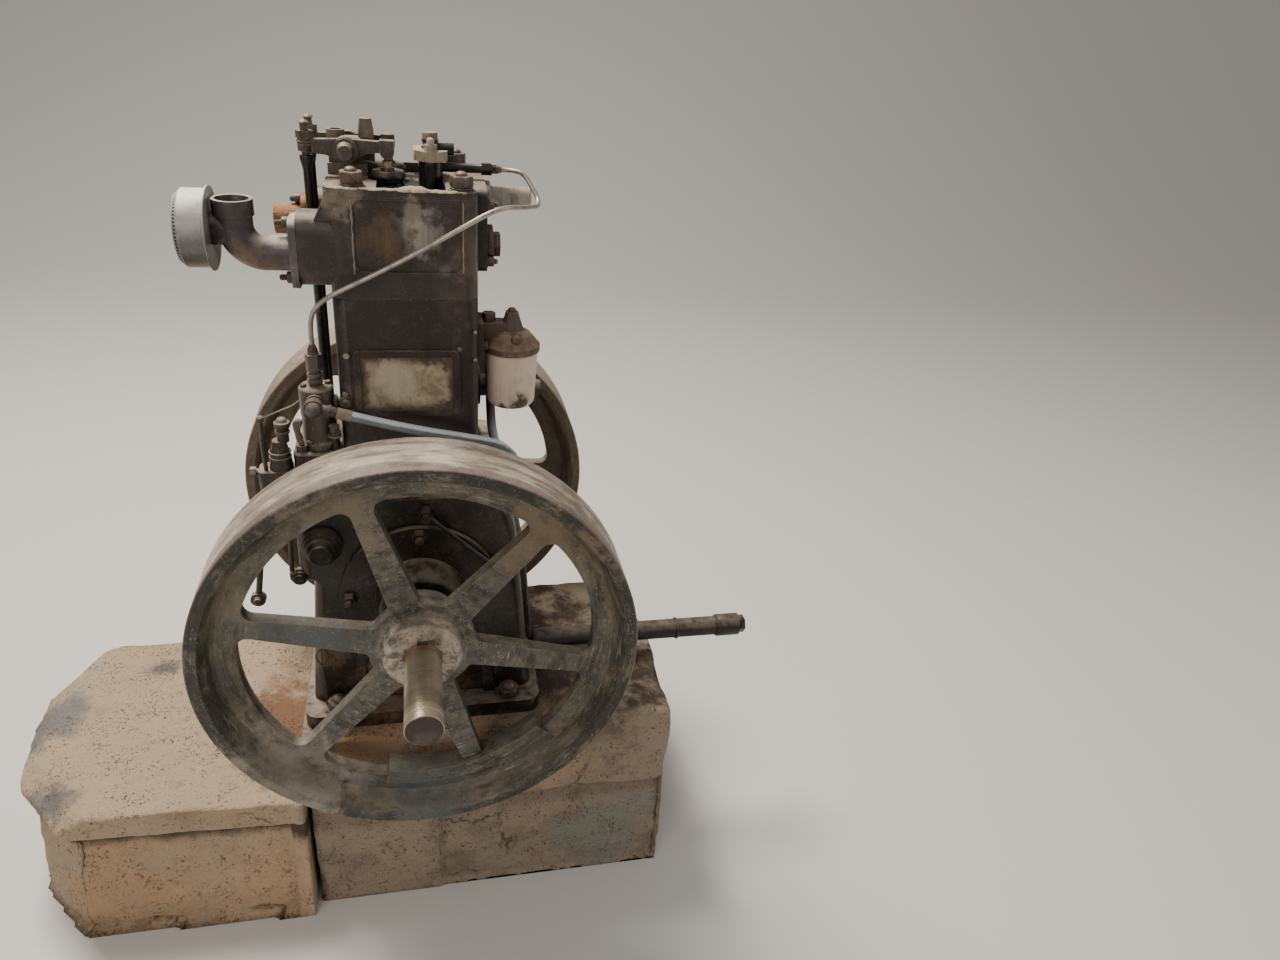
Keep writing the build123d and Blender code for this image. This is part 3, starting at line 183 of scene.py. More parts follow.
def unsigned(tree, value):
    return sums(tree, "ABSOLUTE", value, 0.0)


def smooth(tree, value, low, high):
    values = {"Value": value, "From Min": low, "From Max": high}
    return put(tree, "MapRange", values, interpolation_type="SMOOTHSTEP").outputs["Result"]


def mixed(tree, share, first, second):
    return put(tree, "Mix", {0: share, 6: first, 7: second}, data_type="RGBA").outputs[2]


def coordinate(tree, axis, kind="Object"):
    return put(tree, "SeparateXYZ", {0: put(tree, "TexCoord").outputs[kind]}).outputs[axis]


def speckle(tree, scale, detail=4.0, rough=0.6, twist=0.0):
    values = {"Scale": scale, "Detail": detail, "Roughness": rough, "Distortion": twist}
    where = put(tree, "TexCoord").outputs["Object"]
    return put(tree, "TexNoise", {"Vector": where, **values}).outputs["Fac"]


def shaky(tree, scale, span, detail=4.0, rough=0.6):
    return times(tree, minus(tree, speckle(tree, scale, detail, rough), 0.5), span)


tree, given, result = shader_group(
    "blotches",
    {"First": (0, 0, 0, 1), "Second": (1, 1, 1, 1), "Scale": 9.0, "Amount": 0.5},
    ("Colour", "Mask"),
)
broad = speckle(tree, given["Scale"], 5.0, 0.62, 0.4)
fine = speckle(tree, times(tree, given["Scale"], 5.3), 4.0, 0.7)
blend = plus(tree, times(tree, broad, 0.68), times(tree, fine, 0.32))
edge = minus(tree, 0.68, times(tree, given["Amount"], 0.36))
mask = smooth(tree, blend, edge, plus(tree, edge, 0.14))
give(tree, result, Colour=mixed(tree, mask, given["First"], given["Second"]), Mask=mask)
blotches = tree

tree, given, result = shader_group(
    "stain", {"Place": (0, 0, 0), "Reach": 0.05, "Ragged": 0.5, "Scale": 30.0}, ("Mask",)
)
where = put(tree, "TexCoord").outputs["Object"]
away = put(tree, "VectorMath", {0: where, 1: given["Place"]}, operation="DISTANCE").outputs["Value"]
share = sums(tree, "DIVIDE", away, given["Reach"])
torn = shaky(tree, given["Scale"], times(tree, given["Ragged"], 3.4), 6.0, 0.7)
give(tree, result, Mask=smooth(tree, plus(tree, share, torn), 1.0, 0.35))
stain = tree

tree, given, result = shader_group("rough_cast", {"Scale": 120.0, "Pitting": 0.5}, ("Height", "Pits"))
where = put(tree, "TexCoord").outputs["Object"]
lumps = speckle(tree, given["Scale"], 5.0, 0.65)
cells = put(tree, "TexVoronoi", {"Vector": where, "Scale": times(tree, given["Scale"], 0.9)})
pits = smooth(tree, cells.outputs["Distance"], 0.32, 0.08)
sparse = smooth(tree, speckle(tree, times(tree, given["Scale"], 0.21)), 0.5, 0.66)
pits = times(tree, pits, sparse, given["Pitting"])
give(tree, result, Height=minus(tree, lumps, pits), Pits=pits)
rough_cast = tree

tree, given, result = shader_group("hair_cracks", {"Scale": 5.0, "Width": 0.01, "Amount": 0.6}, ("Mask",))
where = put(tree, "TexCoord").outputs["Object"]
shake_look = {"Vector": where, "Scale": 17.0, "Detail": 5.0, "Roughness": 0.7}
shaken = put(tree, "TexNoise", shake_look).outputs["Color"]
shaken = put(tree, "VectorMath", {0: shaken, 1: (0.07, 0.07, 0.07)}, operation="MULTIPLY").outputs[0]
where = put(tree, "VectorMath", {0: where, 1: shaken}, operation="ADD").outputs[0]
seams = put(tree, "TexVoronoi", {"Vector": where, "Scale": given["Scale"]}, feature="DISTANCE_TO_EDGE")
seams = smooth(tree, seams.outputs["Distance"], given["Width"], 0.0)
apart = smooth(tree, speckle(tree, 6.0, 3.0), 0.53, 0.64)
give(tree, result, Mask=times(tree, seams, apart, given["Amount"]))
hair_cracks = tree

# Painted shadow: a dark band on steep faces just under the lip, standing in for the shade the lip casts.
tree, given, result = shader_group("lip_shadow_band", {"Lip": 0.21, "Band": 0.014, "Amount": 0.8}, ("Mask",))
level = plus(tree, coordinate(tree, "Z"), shaky(tree, 28.0, 0.022))
steep = smooth(tree, unsigned(tree, coordinate(tree, "Z", "Normal")), 0.85, 0.5)
foot = minus(tree, given["Lip"], given["Band"])
shade = smooth(tree, level, foot, minus(tree, given["Lip"], times(tree, given["Band"], 0.45)))
shade = times(tree, shade, smooth(tree, level, plus(tree, given["Lip"], 0.004), given["Lip"]))
give(tree, result, Mask=times(tree, shade, steep, given["Amount"]))
lip_shadow_band = tree

tree, given, result = shader_group("settled_dust", {"Amount": 0.5, "Scale": 40.0}, ("Mask",))
flat = smooth(tree, coordinate(tree, "Z", "Normal"), 0.25, 0.95)
lying = smooth(tree, speckle(tree, given["Scale"], 5.0, 0.7), 0.25, 0.62)
lying = times(tree, flat, lying, given["Amount"])
film = smooth(tree, speckle(tree, times(tree, given["Scale"], 0.5), 6.0, 0.75), 0.5, 0.8)
film = times(tree, film, given["Amount"], 0.35)
give(tree, result, Mask=larger(tree, lying, film))
settled_dust = tree

tree, given, result = shader_group("wet_floor", {"Low": 0.0, "High": 0.1, "Amount": 0.9}, ("Mask",))
level = coordinate(tree, "Z")
above = smooth(tree, level, given["Low"], plus(tree, given["Low"], 0.001))
below = smooth(tree, level, given["High"], minus(tree, given["High"], 0.001))
facing_up = smooth(tree, coordinate(tree, "Z", "Normal"), 0.4, 0.7)
puddles = smooth(tree, speckle(tree, 55.0, 5.0, 0.7), 0.30, 0.50)
give(tree, result, Mask=times(tree, above, facing_up, below, puddles, given["Amount"]))
wet_floor = tree

tree, given, result = shader_group("freckles", {"Scale": 260.0, "Amount": 0.4}, ("Mask",))
dots = smooth(tree, speckle(tree, given["Scale"], 3.0, 0.75), 0.56, 0.68)
herd = smooth(tree, speckle(tree, times(tree, given["Scale"], 0.12), 4.0, 0.7), 0.40, 0.62)
give(tree, result, Mask=times(tree, dots, herd, given["Amount"]))
freckles = tree


def solid(colour):
    return (*colour, 1)


def fresh_material(name):
    material = bpy.data.materials.new(name)
    material.use_nodes = True
    return material, material.node_tree, material.node_tree.nodes["Principled BSDF"].inputs


def bumped(tree, shader, height, depth):
    bump = put(tree, "Bump", {"Height": height, "Distance": depth, "Strength": 1.0})
    tree.links.new(bump.outputs["Normal"], shader["Normal"])


screed = (0.43, 0.335, 0.235)
red_dirt = (0.25, 0.165, 0.10)
oily_dirt = (0.075, 0.055, 0.042)
bare_stone = (0.34, 0.31, 0.27)
pock_brown = (0.055, 0.042, 0.033)
crack_brown = (0.045, 0.035, 0.028)
# Colour of the painted shadow under the lip.
lip_shadow_brown = (0.050, 0.036, 0.026)


def concrete(name, main, second, amount, stains, pitting, lip, shade):
    material, tree, shader = fresh_material(name)
    tone = grouped(tree, blotches, First=solid(main), Second=solid(second), Scale=5.5, Amount=amount)
    grit = grouped(tree, blotches, First=tone["Colour"], Second=solid(bare_stone), Scale=95.0, Amount=0.35)
    colour = grit["Colour"]
    for place, reach, stain_colour in stains:
        mark = grouped(tree, stain, Place=place, Reach=reach, Ragged=0.75, Scale=14.0)
        colour = mixed(tree, mark["Mask"], colour, solid(stain_colour))
    cast = grouped(tree, rough_cast, Scale=150.0, Pitting=pitting)
    colour = mixed(tree, times(tree, cast["Pits"], 0.8), colour, solid(oily_dirt))
    scuffed = grouped(tree, blotches, Scale=24.0, Amount=amount * 0.8)
    colour = mixed(tree, times(tree, scuffed["Mask"], 0.45), colour, solid(red_dirt))
    pocked = grouped(tree, freckles, Scale=210.0, Amount=0.8)
    colour = mixed(tree, pocked["Mask"], colour, solid(pock_brown))
    split = grouped(tree, hair_cracks, Scale=4.5, Width=0.010, Amount=0.75)
    colour = mixed(tree, split["Mask"], colour, solid(crack_brown))
    # Painted shadow under the lip, mixed into the colour as a dark band.
    lip_shadow = grouped(tree, lip_shadow_band, Lip=lip, Band=0.050, Amount=shade)
    colour = mixed(tree, lip_shadow["Mask"], colour, solid(lip_shadow_brown))
    tree.links.new(colour, shader["Base Color"])
    shader["Roughness"].default_value = 0.92
    shader["Specular IOR Level"].default_value = 0.25
    coarse = times(tree, speckle(tree, 45.0, 6.0, 0.75), 2.2)
    sunk = plus(tree, split["Mask"], pocked["Mask"])
    bumped(tree, shader, minus(tree, plus(tree, cast["Height"], coarse), sunk), 0.0032)
    return material


lip_level = 0.207
pier_stains = [
    ((0.17, -0.02, 0.37), 0.24, oily_dirt),
    ((0.10, 0.05, 0.37), 0.22, oily_dirt),
    ((0.33, -0.06, 0.37), 0.15, (0.060, 0.047, 0.037)),
    ((0.02, -0.22, 0.36), 0.13, (0.52, 0.36, 0.225)),
    ((-0.10, -0.20, 0.36), 0.09, (0.42, 0.27, 0.165)),
    ((0.30, -0.23, 0.09), 0.13, (0.25, 0.24, 0.205)),
    ((0.16, -0.23, 0.28), 0.14, (0.40, 0.30, 0.21)),
]
slab_stains = [
    ((-0.21, -0.02, 0.27), 0.15, (0.20, 0.115, 0.07)),
    ((-0.24, -0.12, 0.27), 0.07, (0.13, 0.08, 0.055)),
    ((-0.62, 0.03, 0.25), 0.10, (0.20, 0.19, 0.18)),
    ((-0.57, -0.15, 0.25), 0.055, (0.17, 0.155, 0.145)),
    ((-0.47, 0.14, 0.26), 0.035, (0.16, 0.14, 0.125)),
    ((-0.47, -0.24, 0.05), 0.19, (0.46, 0.315, 0.20)),
    ((-0.26, -0.24, 0.06), 0.17, (0.52, 0.365, 0.24)),
]
pier_concrete = concrete(
    "pier_concrete", (0.33, 0.265, 0.20), (0.22, 0.175, 0.135), 0.5, pier_stains,
    pitting=1.0, lip=lip_level, shade=0.30,
)
slab_concrete = concrete(
    "slab_concrete", screed, (0.36, 0.27, 0.18), 0.42, slab_stains,
    pitting=0.6, lip=0.212, shade=0.9,
)

concrete_voxel = 0.0064
chip_reach = 0.035
crumb_reach = 0.018
feet_reach_x = 0.19
feet_reach_y = 0.178
feet_level = 0.355
screed_level = 0.211


def waves(p, per_metre):
    return noise.noise(p * per_metre) * 0.5 + 0.5


def ramp(value, span):
    return min(1.0, max(0.0, value / span))


def broken_concrete(name, source, material, kept_flat, wild, ledge):
    low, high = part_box(source)
    block = bpy.data.objects.new(name, node[source].data.copy())
    bpy.context.scene.collection.objects.link(block)
    remesh = block.modifiers.new("even", "REMESH")
    remesh.mode = "VOXEL"
    remesh.voxel_size = concrete_voxel
    ready = bpy.data.meshes.new_from_object(block.evaluated_get(bpy.context.evaluated_depsgraph_get()))
    block.modifiers.clear()
    block.data = ready
    ready.name = name
    ready.materials.clear()
    ready.materials.append(material)
    normals = [vertex.normal.copy() for vertex in ready.vertices]
    for vertex, normal in zip(ready.vertices, normals):
        p = vertex.co.copy()
        gaps = sorted((p.x - low.x, high.x - p.x, p.y - low.y, high.y - p.y, high.z - p.z))
        to_edge = math.hypot(max(gaps[0], 0), max(gaps[1], 0))
        broad, middle, small = waves(p, 5.5), waves(p, 21.0), waves(p, 75.0)
        chip = max(0.0, 1 - to_edge / chip_reach) * max(0.0, noise.noise(p * 13.0) + 0.28)
        crumbs = max(0.0, 1 - to_edge / crumb_reach) * waves(p, 48.0)
        depth = 0.003 * broad + 0.0025 * middle + 0.0016 * small + 0.026 * chip * chip + 0.005 * crumbs
        depth += wild(p) * (0.035 * broad * broad + 0.016 * middle + 0.004 * small)
        depth *= kept_flat(p, normal)
        depth += ledge(p, normal) * (0.55 + 0.30 * broad + 0.35 * middle + 0.25 * small)
        vertex.co = p - normal * depth
        for axis in range(3):
            vertex.co[axis] = min(max(vertex.co[axis], low[axis]), high[axis])
        if p.z < low.z + concrete_voxel and normal.z < -0.7:
            vertex.co.z = min(vertex.co.z, low.z + 0.0005)
    for face in ready.polygons:
        face.use_smooth = True
    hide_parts(source)
    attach(block, "root")


def under_feet(p, normal):
    inside = abs(p.x) < feet_reach_x and abs(p.y) < feet_reach_y and p.z > feet_level
    return 0.02 if inside else (0.15 if normal.z < -0.7 else 1.0)


def worn_slab(p, normal):
    if normal.z < -0.7 or p.x > -0.205:
        return 0.12
    return 0.45 if normal.z > 0.8 and p.x > -0.56 else 1.0


def whole_end(p):
    return 0.0


def rough_end(p):
    return 0.20 * ramp(-0.555 - p.x, 0.05) + 0.12 * ramp(0.21 - p.z, 0.03)


def crumbled_front(p, normal):
    if normal.y > -0.6 or p.x < 0.02:
        return 0.0
    sway = 0.010 * noise.noise(Vector((p.x * 14, 0.3, 1.7)))
    sway += 0.004 * noise.noise(Vector((p.x * 60, 0.9, 2.2)))
    return 0.010 * ramp(lip_level + sway - p.z, 0.008)


def below_screed(p, normal):
    if abs(normal.z) > 0.6 or p.x > -0.215:
        return 0.0
    return 0.017 * ramp(p.x + 0.60, 0.05) * ramp(screed_level - p.z, 0.006)


broken_concrete("pier", "plinth_block", pier_concrete, under_feet, whole_end, crumbled_front)
broken_concrete("screed_slab", "lower_slab", slab_concrete, worn_slab, rough_end, below_screed)


# Foundation nuts. Four hexagon nuts with washers hold the feet down on threaded studs that are cast
# into the pier, all rusted the same dark brown.
def at(x, y, z, facing="up"):
    axis, quarter_turns = {
        "up": ("X", 0), "front": ("X", 1), "back": ("X", -1), "right": ("Y", 1), "left": ("Y", -1)
    }[facing]
    return Matrix.Translation((x, y, z)) @ Matrix.Rotation(quarter_turns * math.pi / 2, 4, axis)


def loop_of(bm, place, points):
    return [bm.verts.new(place @ Vector(p)) for p in points]


def circle(radius, z, count):
    turns = [2 * math.pi * i / count for i in range(count)]
    return [(radius * math.cos(angle), radius * math.sin(angle), z) for angle in turns]


def skin(bm, loops, shut=True):
    for lower, upper in zip(loops, loops[1:]):
        count = len(lower)
        for i in range(count):
            bm.faces.new((lower[i], lower[(i + 1) % count], upper[(i + 1) % count], upper[i]))
    if shut:
        bm.faces.new(loops[0][::-1])
        bm.faces.new(loops[-1])


def turned(bm, place, profile, count=40, shut=True):
    skin(bm, [loop_of(bm, place, circle(max(radius, 0.0002), z, count)) for radius, z in profile], shut)


def nut(bm, place, across, high, start=0.0, tilt=0.0):
    loops = []
    flat = across / 2
    corner = across / math.sqrt(3)
    for share, chamfered, drop in ((0, True, 0), (0, False, 0.144), (1, False, -0.144), (1, True, 0)):
        ring = []
        for i in range(24):
            angle = math.pi * i / 12 + tilt
            radius = flat / math.cos((i % 4) / 4 * math.pi / 3 - math.pi / 6)
            lift = (radius - flat) / (corner - flat)
            reach = min(radius, flat * 1.02) if chamfered else radius
            level = start + high * (share + drop * lift)
            ring.append((reach * math.cos(angle), reach * math.sin(angle), level))
        loops.append(loop_of(bm, place, ring))
    skin(bm, loops)


def washer(bm, place, radius, thick, start=0.0):
    lip = thick * 0.25
    end = start + thick
    profile = [(radius - lip, start), (radius, start + lip), (radius, end - lip), (radius - lip, end)]
    turned(bm, place, profile)


def threaded_stud(bm, place, radius, start, end, pitch=0.0018):
    profile = []
    z = start
    while z < end - pitch * 1.5:
        profile += [(radius * 0.88, z), (radius, z + pitch * 0.5)]
        z += pitch
    profile += [(radius * 0.86, z), (radius * 0.7, end), (radius * 0.3, end + radius * 0.12)]
    turned(bm, place, profile, 18)


def bolted(bm, place, across, high, tilt, stud, under=None):
    thick = under[1] if under else 0.0
    if under:
        washer(bm, place, *under)
    nut(bm, place, across, high, thick, tilt)
    threaded_stud(bm, place, *stud)


def show(name, bm, material, body="root", replaces=(), sharp=38):
    bmesh.ops.recalc_face_normals(bm, faces=bm.faces)
    mesh = bpy.data.meshes.new(name)
    bm.to_mesh(mesh)
    bm.free()
    mesh.shade_smooth()
    mesh.set_sharp_from_angle(angle=math.radians(sharp))
    mesh.materials.append(material)
    piece = bpy.data.objects.new(name, mesh)
    bpy.context.scene.collection.objects.link(piece)
    if replaces:
        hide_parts(*replaces)
    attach(piece, body)
    return piece


tree, given, result = shader_group("worn_edge", {"Width": 0.0015, "Amount": 0.5}, ("Mask",))
rounded = put(tree, "Bevel", {"Radius": given["Width"]}, samples=3).outputs["Normal"]
flat = put(tree, "NewGeometry").outputs["Normal"]
agree = put(tree, "VectorMath", {0: rounded, 1: flat}, operation="DOT_PRODUCT").outputs["Value"]
edge = smooth(tree, agree, 0.985, 0.86)
broken = smooth(tree, speckle(tree, 160.0, 4.0, 0.7), 0.36, 0.6)
give(tree, result, Mask=times(tree, edge, broken, given["Amount"]))
worn_edge = tree

# Partly grime and partly painted shade: an occlusion mask darkens crevices, corners and gaps between parts,
# where shade falls.
tree, given, result = shader_group("crevice_grime_and_shade", {"Reach": 0.02, "Amount": 0.5}, ("Mask",))
open_share = put(tree, "AmbientOcclusion", {"Distance": given["Reach"]}, samples=4).outputs["AO"]
give(tree, result, Mask=times(tree, smooth(tree, open_share, 0.85, 0.3), given["Amount"]))
crevice_grime_and_shade = tree

tree, given, result = shader_group(
    "rust_creep",
    {"Scale": 22.0, "Amount": 0.4, "Light": (0.36, 0.16, 0.06, 1), "Dark": (0.09, 0.045, 0.028, 1)},
    ("Colour", "Mask", "Height"),
)
broad = speckle(tree, given["Scale"], 7.0, 0.7, 0.6)
fine = speckle(tree, times(tree, given["Scale"], 7.0), 5.0, 0.7)
edge = minus(tree, 0.74, times(tree, given["Amount"], 0.45))
crust = plus(tree, times(tree, broad, 0.7), times(tree, fine, 0.3))
mask = smooth(tree, crust, edge, plus(tree, edge, 0.12))
rust_colour = mixed(tree, fine, given["Dark"], given["Light"])
give(tree, result, Colour=rust_colour, Mask=mask, Height=times(tree, mask, fine))
rust_creep = tree

tree, given, result = shader_group("oil_runs", {"Scale": 16.0, "Amount": 0.5}, ("Mask",))
spot = {axis: coordinate(tree, axis) for axis in "XYZ"}
spot["Z"] = times(tree, spot["Z"], 0.13)
drawn = put(tree, "CombineXYZ", spot).outputs[0]
drip_look = {"Vector": drawn, "Scale": given["Scale"], "Detail": 6.0, "Roughness": 0.72}
drips = smooth(tree, put(tree, "TexNoise", drip_look).outputs["Fac"], 0.47, 0.66)
upright = smooth(tree, unsigned(tree, coordinate(tree, "Z", "Normal")), 0.8, 0.4)
give(tree, result, Mask=times(tree, drips, given["Amount"], upright))
oil_runs = tree

soot_black = (0.026, 0.021, 0.018)
drip_black = (0.014, 0.010, 0.008)
# Near black used for grime and painted shade in crevices.
grime_and_shade_black = (0.012, 0.009, 0.008)
pool_black = (0.022, 0.022, 0.024)


def weathered(
    name, coat=None, patch=None, bare=(0.20, 0.175, 0.15), dust=(0.36, 0.30, 0.23), patches=0.5, rust=0.3,
    dusting=0.5, wear=0.5, grime_and_shade=0.7, size=1.0, cast=0.5, bump=0.0006, rough=(0.42, 0.8), metal=0.0,
    rust_light=(0.30, 0.15, 0.07), runs=0.45, specks=0.5, soot=0.35, stains=(), wet=(0.0, 0.0), zones=None,
):
    material, tree, shader = fresh_material(name)
    first, second, relief = zones(tree) if zones else (solid(coat), solid(patch), 0.0)
    tone = grouped(tree, blotches, First=first, Second=second, Scale=11.0 * size, Amount=patches)
    creep = grouped(tree, rust_creep, Scale=24.0 * size, Amount=rust, Light=solid(rust_light))
    colour = mixed(tree, creep["Mask"], tone["Colour"], creep["Colour"])
    for place, reach, ragged, stain_colour in stains:
        mark = grouped(tree, stain, Place=place, Reach=reach, Ragged=ragged, Scale=38.0)
        colour = mixed(tree, mark["Mask"], colour, solid(stain_colour))
    sooty = grouped(tree, blotches, Scale=6.5 * size, Amount=0.5)
    colour = mixed(tree, times(tree, sooty["Mask"], soot), colour, solid(soot_black))
    drips = grouped(tree, oil_runs, Scale=26.0 * size, Amount=runs)
    dots = grouped(tree, freckles, Scale=300.0 * size, Amount=specks)
    rubbed = grouped(tree, worn_edge, Width=0.0016, Amount=wear)
    # Crevice darkening, partly grime and partly painted shade.
    caked_and_shaded = grouped(tree, crevice_grime_and_shade, Reach=0.018, Amount=grime_and_shade)
    lying = grouped(tree, settled_dust, Amount=dusting, Scale=46.0 * size)
    pool = grouped(tree, wet_floor, Low=wet[0], High=wet[1], Amount=0.9 if wet[1] else 0.0)
    layers = (
        (drips, drip_black), (dots, dust), (rubbed, bare),
        (caked_and_shaded, grime_and_shade_black), (lying, dust), (pool, pool_black),
    )
    for layer, layer_colour in layers:
        colour = mixed(tree, layer["Mask"], colour, solid(layer_colour))
    tree.links.new(colour, shader["Base Color"])
    dull = larger(tree, creep["Mask"], lying["Mask"], times(tree, tone["Mask"], 0.4))
    span = put(tree, "MapRange", {"Value": dull, "To Min": rough[0], "To Max": rough[1]}).outputs["Result"]
    tree.links.new(minus(tree, span, times(tree, pool["Mask"], 0.4)), shader["Roughness"])
    shader["Metallic"].default_value = metal
    shader["Specular IOR Level"].default_value = 0.42
    sand = grouped(tree, rough_cast, Scale=230.0 * size, Pitting=cast)
    height = plus(tree, times(tree, sand["Height"], 0.6), times(tree, creep["Height"], 0.9), relief)
    bumped(tree, shader, height, bump)
    return material


rusty_steel = weathered(
    "rusty_nut_steel", (0.075, 0.056, 0.046), (0.15, 0.11, 0.082),
    rust=0.45, dusting=0.42, wear=0.8, size=2.2, bump=0.0003, metal=0.25,
)

foundation_x = 0.132
foundation_y = 0.153
foundation_top = 0.390
foundation_nut = 0.030
foundation_nut_high = 0.013
foundation_stud = (0.009, 0.016, 0.0243)
foundation_washer = (0.0195, 0.003)
bm = bmesh.new()
for x in (-foundation_x, foundation_x):
    for y in (-foundation_y, foundation_y):
        spot = at(x, y, foundation_top)
        bolted(bm, spot, foundation_nut, foundation_nut_high, 0.3 * x, foundation_stud, foundation_washer)
show("foundation_nuts", bm, rusty_steel, replaces=("foundation_bolts",))


# Crankcase. One grey iron casting with flared sides, painted once and now black with oil, dusty on
# its ledges, and its colour is made darker still as painted shade. Its inspection door, bearing
# housings and camshaft cover are bolted on.
def dress(name, material, edge=0.0012):
    part = node[name]
    part.data.materials.clear()
    part.data.materials.append(material)
    weld = part.modifiers.new("weld", "WELD")
    weld.merge_threshold = 0.00001
    if edge:
        bevel = part.modifiers.new("soft_edge", "BEVEL")
        bevel.width = edge
        bevel.segments = 2
        bevel.limit_method = "ANGLE"
        bevel.angle_limit = math.radians(32)
        bevel.harden_normals = True


casting_stains = [
    ((-0.02, -0.145, 0.42), 0.10, 0.8, (0.15, 0.09, 0.05)),
    ((-0.15, -0.13, 0.50), 0.06, 0.9, (0.16, 0.105, 0.065)),
]
# Partly painted shade: the coat is near black both from oil and to stand in for the shade that falls on the
# crankcase.
oily_shaded_paint = weathered(
    "oily_shaded_engine_paint", (0.017, 0.0115, 0.0085), (0.040, 0.0280, 0.0200), bare=(0.13, 0.10, 0.075),
    rust=0.20, dusting=0.75, wear=0.60, specks=0.3, rough=(0.34, 0.82), stains=casting_stains,
)
for casting in ("crankcase", "front_bearing_housing", "rear_bearing_housing", "crankcase_door"):
    dress(casting, oily_shaded_paint, 0.002)

door_low, door_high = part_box("crankcase_door")
door_long = door_high.z - door_low.z
door_lean = math.atan2(door_high.x - door_low.x - 0.012, door_long)
bm = bmesh.new()
for y in (-0.080, 0.080):
    for share in (0.16, 0.84):
        rise = share * door_long
        spot = at(door_high.x - rise * math.tan(door_lean) - 0.0022, y, door_low.z + rise, "right")
        nut(bm, spot @ Matrix.Rotation(door_lean, 4, "X"), 0.013, 0.0012)
show("door_screws", bm, rusty_steel)


# Camshaft cover and side plug. A stepped turned cover closes the end of the camshaft. Below it an oil
# elbow with a ribbed plug stands out of the side, and a loop of wire hangs at the corner.
oily_black = weathered(
    "oily_black_steel", (0.018, 0.016, 0.015), (0.040, 0.034, 0.030), bare=(0.13, 0.115, 0.10), rust=0.12,
    dusting=0.45, wear=0.8, size=1.8, cast=0.2, bump=0.0003, rough=(0.3, 0.75), metal=0.2,
)
dress("camshaft_cover", oily_black)


def smooth_run(points, steps):
    ready = []
    padded = [points[0], *points, points[-1]]
    for a, b, c, d in zip(padded, padded[1:], padded[2:], padded[3:]):
        a, b, c, d = Vector(a), Vector(b), Vector(c), Vector(d)
        for i in range(steps):
            t = i / steps
            squared = (2 * a - 5 * b + 4 * c - d) * t * t
            cubed = (3 * b - a - 3 * c + d) * t**3
            ready.append((2 * b + (c - a) * t + squared + cubed) / 2)
    ready.append(Vector(points[-1]))
    return ready


def tube(bm, points, radius, sides=10):
    points = [Vector(p) for p in points]
    across = (points[1] - points[0]).normalized().orthogonal().normalized()
    loops = []
    for i, p in enumerate(points):
        ahead = points[min(i + 1, len(points) - 1)] - points[max(i - 1, 0)]
        ahead.normalize()
        across = (across - ahead * across.dot(ahead)).normalized()
        other = ahead.cross(across)
        width = radius(i / (len(points) - 1)) if callable(radius) else radius
        ring = [p + across * x + other * y for x, y, z in circle(width, 0, sides)]
        loops.append([bm.verts.new(q) for q in ring])
    skin(bm, loops)


def turned_piece(name, material, turnings, body="root"):
    bm = bmesh.new()
    for place, profile, count in turnings:
        turned(bm, place, profile, count)
    return show(name, bm, material, body)


def wire_piece(name, material, points, radius, sides):
    bm = bmesh.new()
    tube(bm, points, radius, sides)
    show(name, bm, material)


elbow_profile = [(0.0085, 0), (0.0085, 0.030), (0.0095, 0.031), (0.0095, 0.038), (0.006, 0.040)]
plug_profile = [
    (0.0105, 0), (0.0105, 0.008), (0.0085, 0.009), (0.0085, 0.0115), (0.0108, 0.0125), (0.0108, 0.0165),
    (0.0078, 0.018), (0.0078, 0.0205), (0.005, 0.022),
]
gallery_z = 0.617
gallery_turnings = [
    (at(-0.148, -0.112, gallery_z, "left"), elbow_profile, 28),
    (at(-0.1735, -0.108, gallery_z, "front"), plug_profile, 32),
]
turned_piece("gallery_plug", oily_black, gallery_turnings)

hook = [
    (-0.150, -0.134, 0.512), (-0.150, -0.150, 0.508), (-0.158, -0.153, 0.494), (-0.150, -0.154, 0.478),
    (-0.141, -0.153, 0.494), (-0.149, -0.151, 0.506), (-0.150, -0.155, 0.470), (-0.148, -0.156, 0.436),
    (-0.149, -0.157, 0.402),
]
wire_piece("wire_loop", oily_black, smooth_run(hook, 5), 0.0011, 6)


# Bearing studs. Each main bearing housing is held by studs whose ends stand out of the nuts; the
# nuts themselves belong to the housings.
axle_z = 0.590
bearing_stud_circle = 0.104
bearing_face = 0.1562
bm = bmesh.new()
for facing, face in (("front", -bearing_face), ("back", bearing_face)):
    for angle in (0, 90, 180):
        x = bearing_stud_circle * math.cos(math.radians(angle))
        z = axle_z + bearing_stud_circle * math.sin(math.radians(angle))
        threaded_stud(bm, at(x, face, z, facing), 0.006, -0.0005, 0.006)
show("bearing_studs", bm, rusty_steel)


# Oil pipe and drain. A thin steel pipe feeds oil across the front of the casting, and a thick drain
# pipe with a capped collar leaves the sump beside the right foot.
dress("oil_pipe", oily_black, 0.0006)
drain_black = weathered(
    "drain_pipe_black", (0.018, 0.014, 0.014), (0.042, 0.034, 0.031), bare=(0.10, 0.08, 0.07),
    dust=(0.19, 0.155, 0.125), rust=0.22, dusting=0.55, specks=0.25, size=1.4, bump=0.0004,
    rough=(0.34, 0.8), metal=0.1,
)
dress("drain_pipe", drain_black)
drain_y, drain_z = -0.036, 0.408
band_radius, band_wide = 0.0192, 0.006
bm = bmesh.new()
for x in (0.300, 0.440, 0.516):
    washer(bm, at(x, drain_y, drain_z, "right"), band_radius, band_wide)
show("drain_bands", bm, drain_black)


